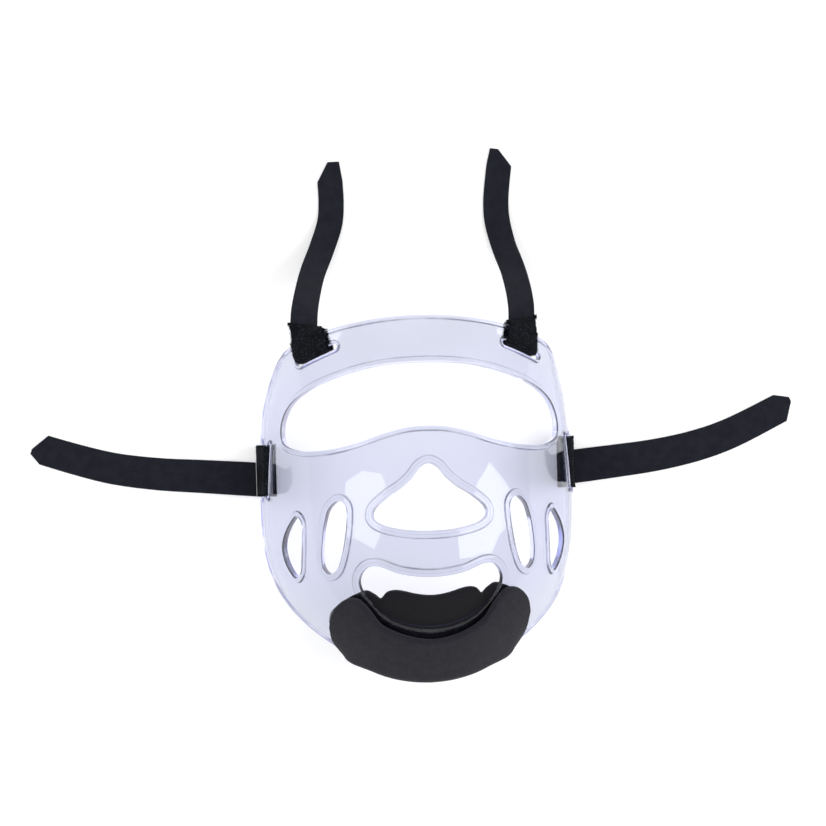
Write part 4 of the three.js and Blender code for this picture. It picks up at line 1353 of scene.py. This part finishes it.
@dataclass(frozen=True)
class ClothFinish:
    """A dark matt cloth: fuzz everywhere, and a weave where it has one."""

    name: str
    dark: tuple
    pale: tuple
    specks: float
    bump: float
    fuzz_size: float = 1.0
    rib: float = 0.0
    sheen: float = 0.3
    specular: float = 0.2
    speck_gain: float = 3.2
    shade: float = 0.0
    roughness: float = 0.9

    def material(
        self, fuzz: bpy.types.NodeTree, weave: bpy.types.NodeTree
    ) -> bpy.types.Material:
        """Builds the material.

        Args:
            fuzz: the fibre fuzz group.
            weave: the ribbed weave group.

        Returns:
            The material.
        """
        made = bpy.data.materials.new(self.name)
        canvas = NodeCanvas.on(made)
        group = {"node_tree": fuzz}
        hair = canvas.add("Group", group, Place=canvas.place(), Size=self.fuzz_size).outputs
        height, colour = hair["Height"], canvas.mix(hair["Blotches"], self.dark, self.pale)
        if self.rib:
            cloth = canvas.add("UVMap", {"uv_map": "cloth"}).outputs[0]
            group, thread = {"node_tree": weave}, self.rib * 1.2
            cross = canvas.add("Group", group, Place=cloth, Rib=self.rib, Thread=thread).outputs
            height = canvas.total(canvas.product(height, 0.4), cross["Height"])
            # Painted shade: the low places of the weave are darkened.
            gaps = canvas.product(cross["Gaps"], 0.55)
            colour = canvas.mix(gaps, colour, self.scaled(self.dark, 0.35))
        specks = canvas.product(hair["Specks"], self.specks)
        colour = canvas.mix(specks, colour, self.scaled(self.pale, self.speck_gain))
        if self.shade:
            hidden = canvas.product(canvas.mask("shaded"), self.shade)
            colour = canvas.mix(hidden, colour, self.scaled(self.dark, 0.4 * self.shade))
        bump = canvas.add("Bump", Strength=0.7, Distance=self.bump, Height=height)
        body = canvas.add(
            "BsdfPrincipled",
            Base_Color=colour,
            Roughness=self.roughness,
            Normal=bump.outputs[0],
            Specular_IOR_Level=self.specular,
            Sheen_Weight=self.sheen,
            Sheen_Roughness=0.5,
        )
        canvas.add("OutputMaterial", Surface=body.outputs[0])
        return made

    @staticmethod
    def scaled(colour: tuple, gain: float) -> tuple:
        """A colour made lighter or darker."""
        return (*(gain * c for c in colour[:3]), 1)


FOAM_CLOTH = ClothFinish(
    name="charcoal_foam",
    dark=(0.0098, 0.0099, 0.0144, 1),
    pale=(0.0134, 0.0135, 0.0192, 1),
    specks=0.6,
    bump=0.0002,
    fuzz_size=1.2,
    sheen=0.1,
    shade=0.72,
)
STRAP_CLOTH = ClothFinish(
    name="navy_black_webbing",
    dark=(0.0068, 0.0076, 0.0138, 1),
    pale=(0.0108, 0.012, 0.0205, 1),
    specks=0.12,
    bump=0.00012,
    fuzz_size=1.4,
    rib=0.55,
    sheen=0.05,
)
LOOP_CLOTH = ClothFinish(
    name="rough_black_loop_tape",
    dark=(0.003, 0.0034, 0.005, 1),
    pale=(0.0066, 0.0072, 0.0096, 1),
    specks=0.85,
    bump=0.0005,
    fuzz_size=0.6,
    sheen=0.0,
    specular=0.08,
    speck_gain=5.0,
)


# ------------------------------------------------------------------ studio and view


@dataclass(frozen=True)
class SoftBox:
    """A flat glowing panel at a place in metres.

    Side and up are the panel's own directions, and its corners are given along them.
    """

    name: str
    centre: tuple[float, float, float]
    side: tuple[float, float, float]
    up: tuple[float, float, float]
    corners: tuple[tuple[float, float], ...]
    radiance: float

    def outline(self) -> Array:
        """The panel's corners in space."""
        axes = unit(np.array([self.side, self.up], float))
        return np.array(self.centre) + np.array(self.corners) @ axes


SOFT_BOXES = (
    SoftBox(
        "soft_box_left", (-1.171, 0.206, 1.071), (-0.17, -0.98, 0), (0.66, -0.12, 0.74),
        (
            (-0.15, -0.41), (-0.36, -0.07), (-0.47, 0.32), (-0.4, 0.42), (0.24, 0.37),
            (0.54, 0.22), (0.45, -0.09), (0.41, -0.41),
        ),
        3.5,
    ),
    SoftBox(
        "soft_box_right", (1.188, -0.041, 1.071), (0.03, 1, 0), (-0.67, 0.02, 0.74),
        (
            (0.52, 0.08), (0.65, -0.23), (0.33, -0.7), (-0.02, -0.65), (-0.14, -0.39),
            (-0.39, -0.24), (-0.53, 0.54), (-0.1, 0.63),
        ),
        4.1,
    ),
)


@dataclass(frozen=True)
class Studio:
    """A white floor, a bright sky, two soft boxes and the camera."""

    floor_half: float = 3.0
    sky: float = 0.85
    horizon: float = 0.75
    floor_glow: float = 0.28
    paint: tuple = (0.8, 0.8, 0.8, 1)
    azimuth: float = -4.561
    tilt: float = 1.407
    roll: float = -1.756
    distance: float = 1.3
    scale: float = 1.647
    aim: tuple = (-0.653, 54.85, 0.0)

    def view(self) -> None:
        """Places the camera almost straight above the mask."""
        a, t, r = (math.radians(x) for x in (self.azimuth, self.tilt, self.roll))
        away = Vector((math.sin(a) * math.cos(t), -math.sin(t), math.cos(a) * math.cos(t)))
        up = (Vector((0, 1, 0)) - away * away.y).normalized()
        right = up.cross(away)
        across = right * math.cos(r) + up * math.sin(r)
        upright = up * math.cos(r) - right * math.sin(r)
        aim = Vector(DATUM.metres(np.array(self.aim)).tolist())
        place = aim + away * self.distance
        lens = bpy.data.cameras.new("camera")
        lens.sensor_width = 36
        lens.lens = self.scale * self.distance * 1000 * 36 / 826
        lens.clip_start = 0.05
        camera = bpy.data.objects.new("camera", lens)
        turned = Matrix((across, upright, away)).transposed().to_4x4()
        camera.matrix_world = Matrix.Translation(place) @ turned
        bpy.context.scene.collection.objects.link(camera)
        bpy.context.scene.camera = camera

    def surroundings(self) -> None:
        """Lights the world: bright above, dim along the horizon."""
        world = bpy.data.worlds.new("studio")
        bpy.context.scene.world = world
        canvas = NodeCanvas.on(world)
        where = canvas.add("TexCoord").outputs["Generated"]
        height = canvas.add("SeparateXYZ", Vector=where).outputs[2]
        level = canvas.ramp(
            height, (0, self.horizon), (0.22, self.horizon), (0.5, self.sky), (1, self.sky)
        )
        back = canvas.add("Background", Color=level, Strength=1.0)
        canvas.add("OutputWorld", Surface=back.outputs[0])

    @staticmethod
    def flat(name: str, corners: list, material: bpy.types.Material) -> bpy.types.Object:
        """A flat face of the studio, which is no part of the mask."""
        mesh = bpy.data.meshes.new(name)
        mesh.from_pydata(corners, [], [tuple(range(len(corners)))])
        mesh.materials.append(material)
        made = bpy.data.objects.new(name, mesh)
        bpy.context.scene.collection.objects.link(made)
        return made

    def soft_box(self, box: SoftBox) -> None:
        """Hangs a lamp as a glowing flat panel that the camera does not see."""
        material = bpy.data.materials.new(box.name)
        canvas = NodeCanvas.on(material)
        glow = canvas.add("Emission", Color=WHITE, Strength=box.radiance)
        canvas.add("OutputMaterial", Surface=glow.outputs[0])
        self.flat(box.name, box.outline().tolist(), material).visible_camera = False

    def floor(self) -> None:
        """Lays the floor that the mask rests on."""
        material = bpy.data.materials.new("white_floor")
        canvas = NodeCanvas.on(material)
        paint = canvas.add("BsdfDiffuse", Color=self.paint)
        glow = canvas.add("Emission", Color=WHITE, Strength=self.floor_glow)
        both = canvas.add("AddShader", n0=paint.outputs[0], n1=glow.outputs[0])
        canvas.add("OutputMaterial", Surface=both.outputs[0])
        h = self.floor_half
        self.flat("floor", [(-h, -h, 0), (h, -h, 0), (h, h, 0), (-h, h, 0)], material)

    def build(self) -> None:
        """Sets up everything round the mask."""
        scene = bpy.context.scene
        scene.view_settings.view_transform = "Standard"
        self.view()
        self.surroundings()
        self.floor()
        for box in SOFT_BOXES:
            self.soft_box(box)


# ---------------------------------------------------------------------------- main


def dress(piece: bpy.types.Object, node: str, material: bpy.types.Material) -> None:
    """Gives a piece its material, hides the part of the node it stands for and hangs the piece
    on the body.
    """
    piece.data.materials.append(material)
    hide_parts(node)
    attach(piece, BODY)
    LOG.info("%s: %d faces", piece.name, len(piece.data.polygons))


def main() -> None:
    """Builds the mask and its studio, and logs the datum and each piece's face count."""
    logging.basicConfig(level=logging.INFO, format="%(message)s")
    LOG.info("datum %s", DATUM.offset)
    fuzz, weave = fuzz_group(), weave_group()
    Studio().build()
    dress(ClearShield().build(), "shield", ClearPlastic().material())
    pad = ChinPad().build()
    dress(pad, "chin_pad", FOAM_CLOTH.material(fuzz, weave))
    webbing = STRAP_CLOTH.material(fuzz, weave)
    for strap in SIDE_STRAPS + TOP_STRAPS:
        dress(strap.build(), strap.node, webbing)
    rough = LOOP_CLOTH.material(fuzz, weave)
    for side, word, strap in ((-1, "left", TOP_STRAPS[0]), (1, "right", TOP_STRAPS[1])):
        side_loop = SideLoop(f"side_loop_{word}", f"side_tab_{word}", side, seed=6 + side)
        dress(side_loop.build(), side_loop.node, rough)
        top_loop = TopLoop(
            f"top_loop_{word}", f"top_tab_{word}", side, fibres=2200, seed=9 + side,
            root=strap.route[0], beyond=strap.route[1],
        )
        dress(top_loop.build(), top_loop.node, rough)


if __name__ == "__main__":
    main()
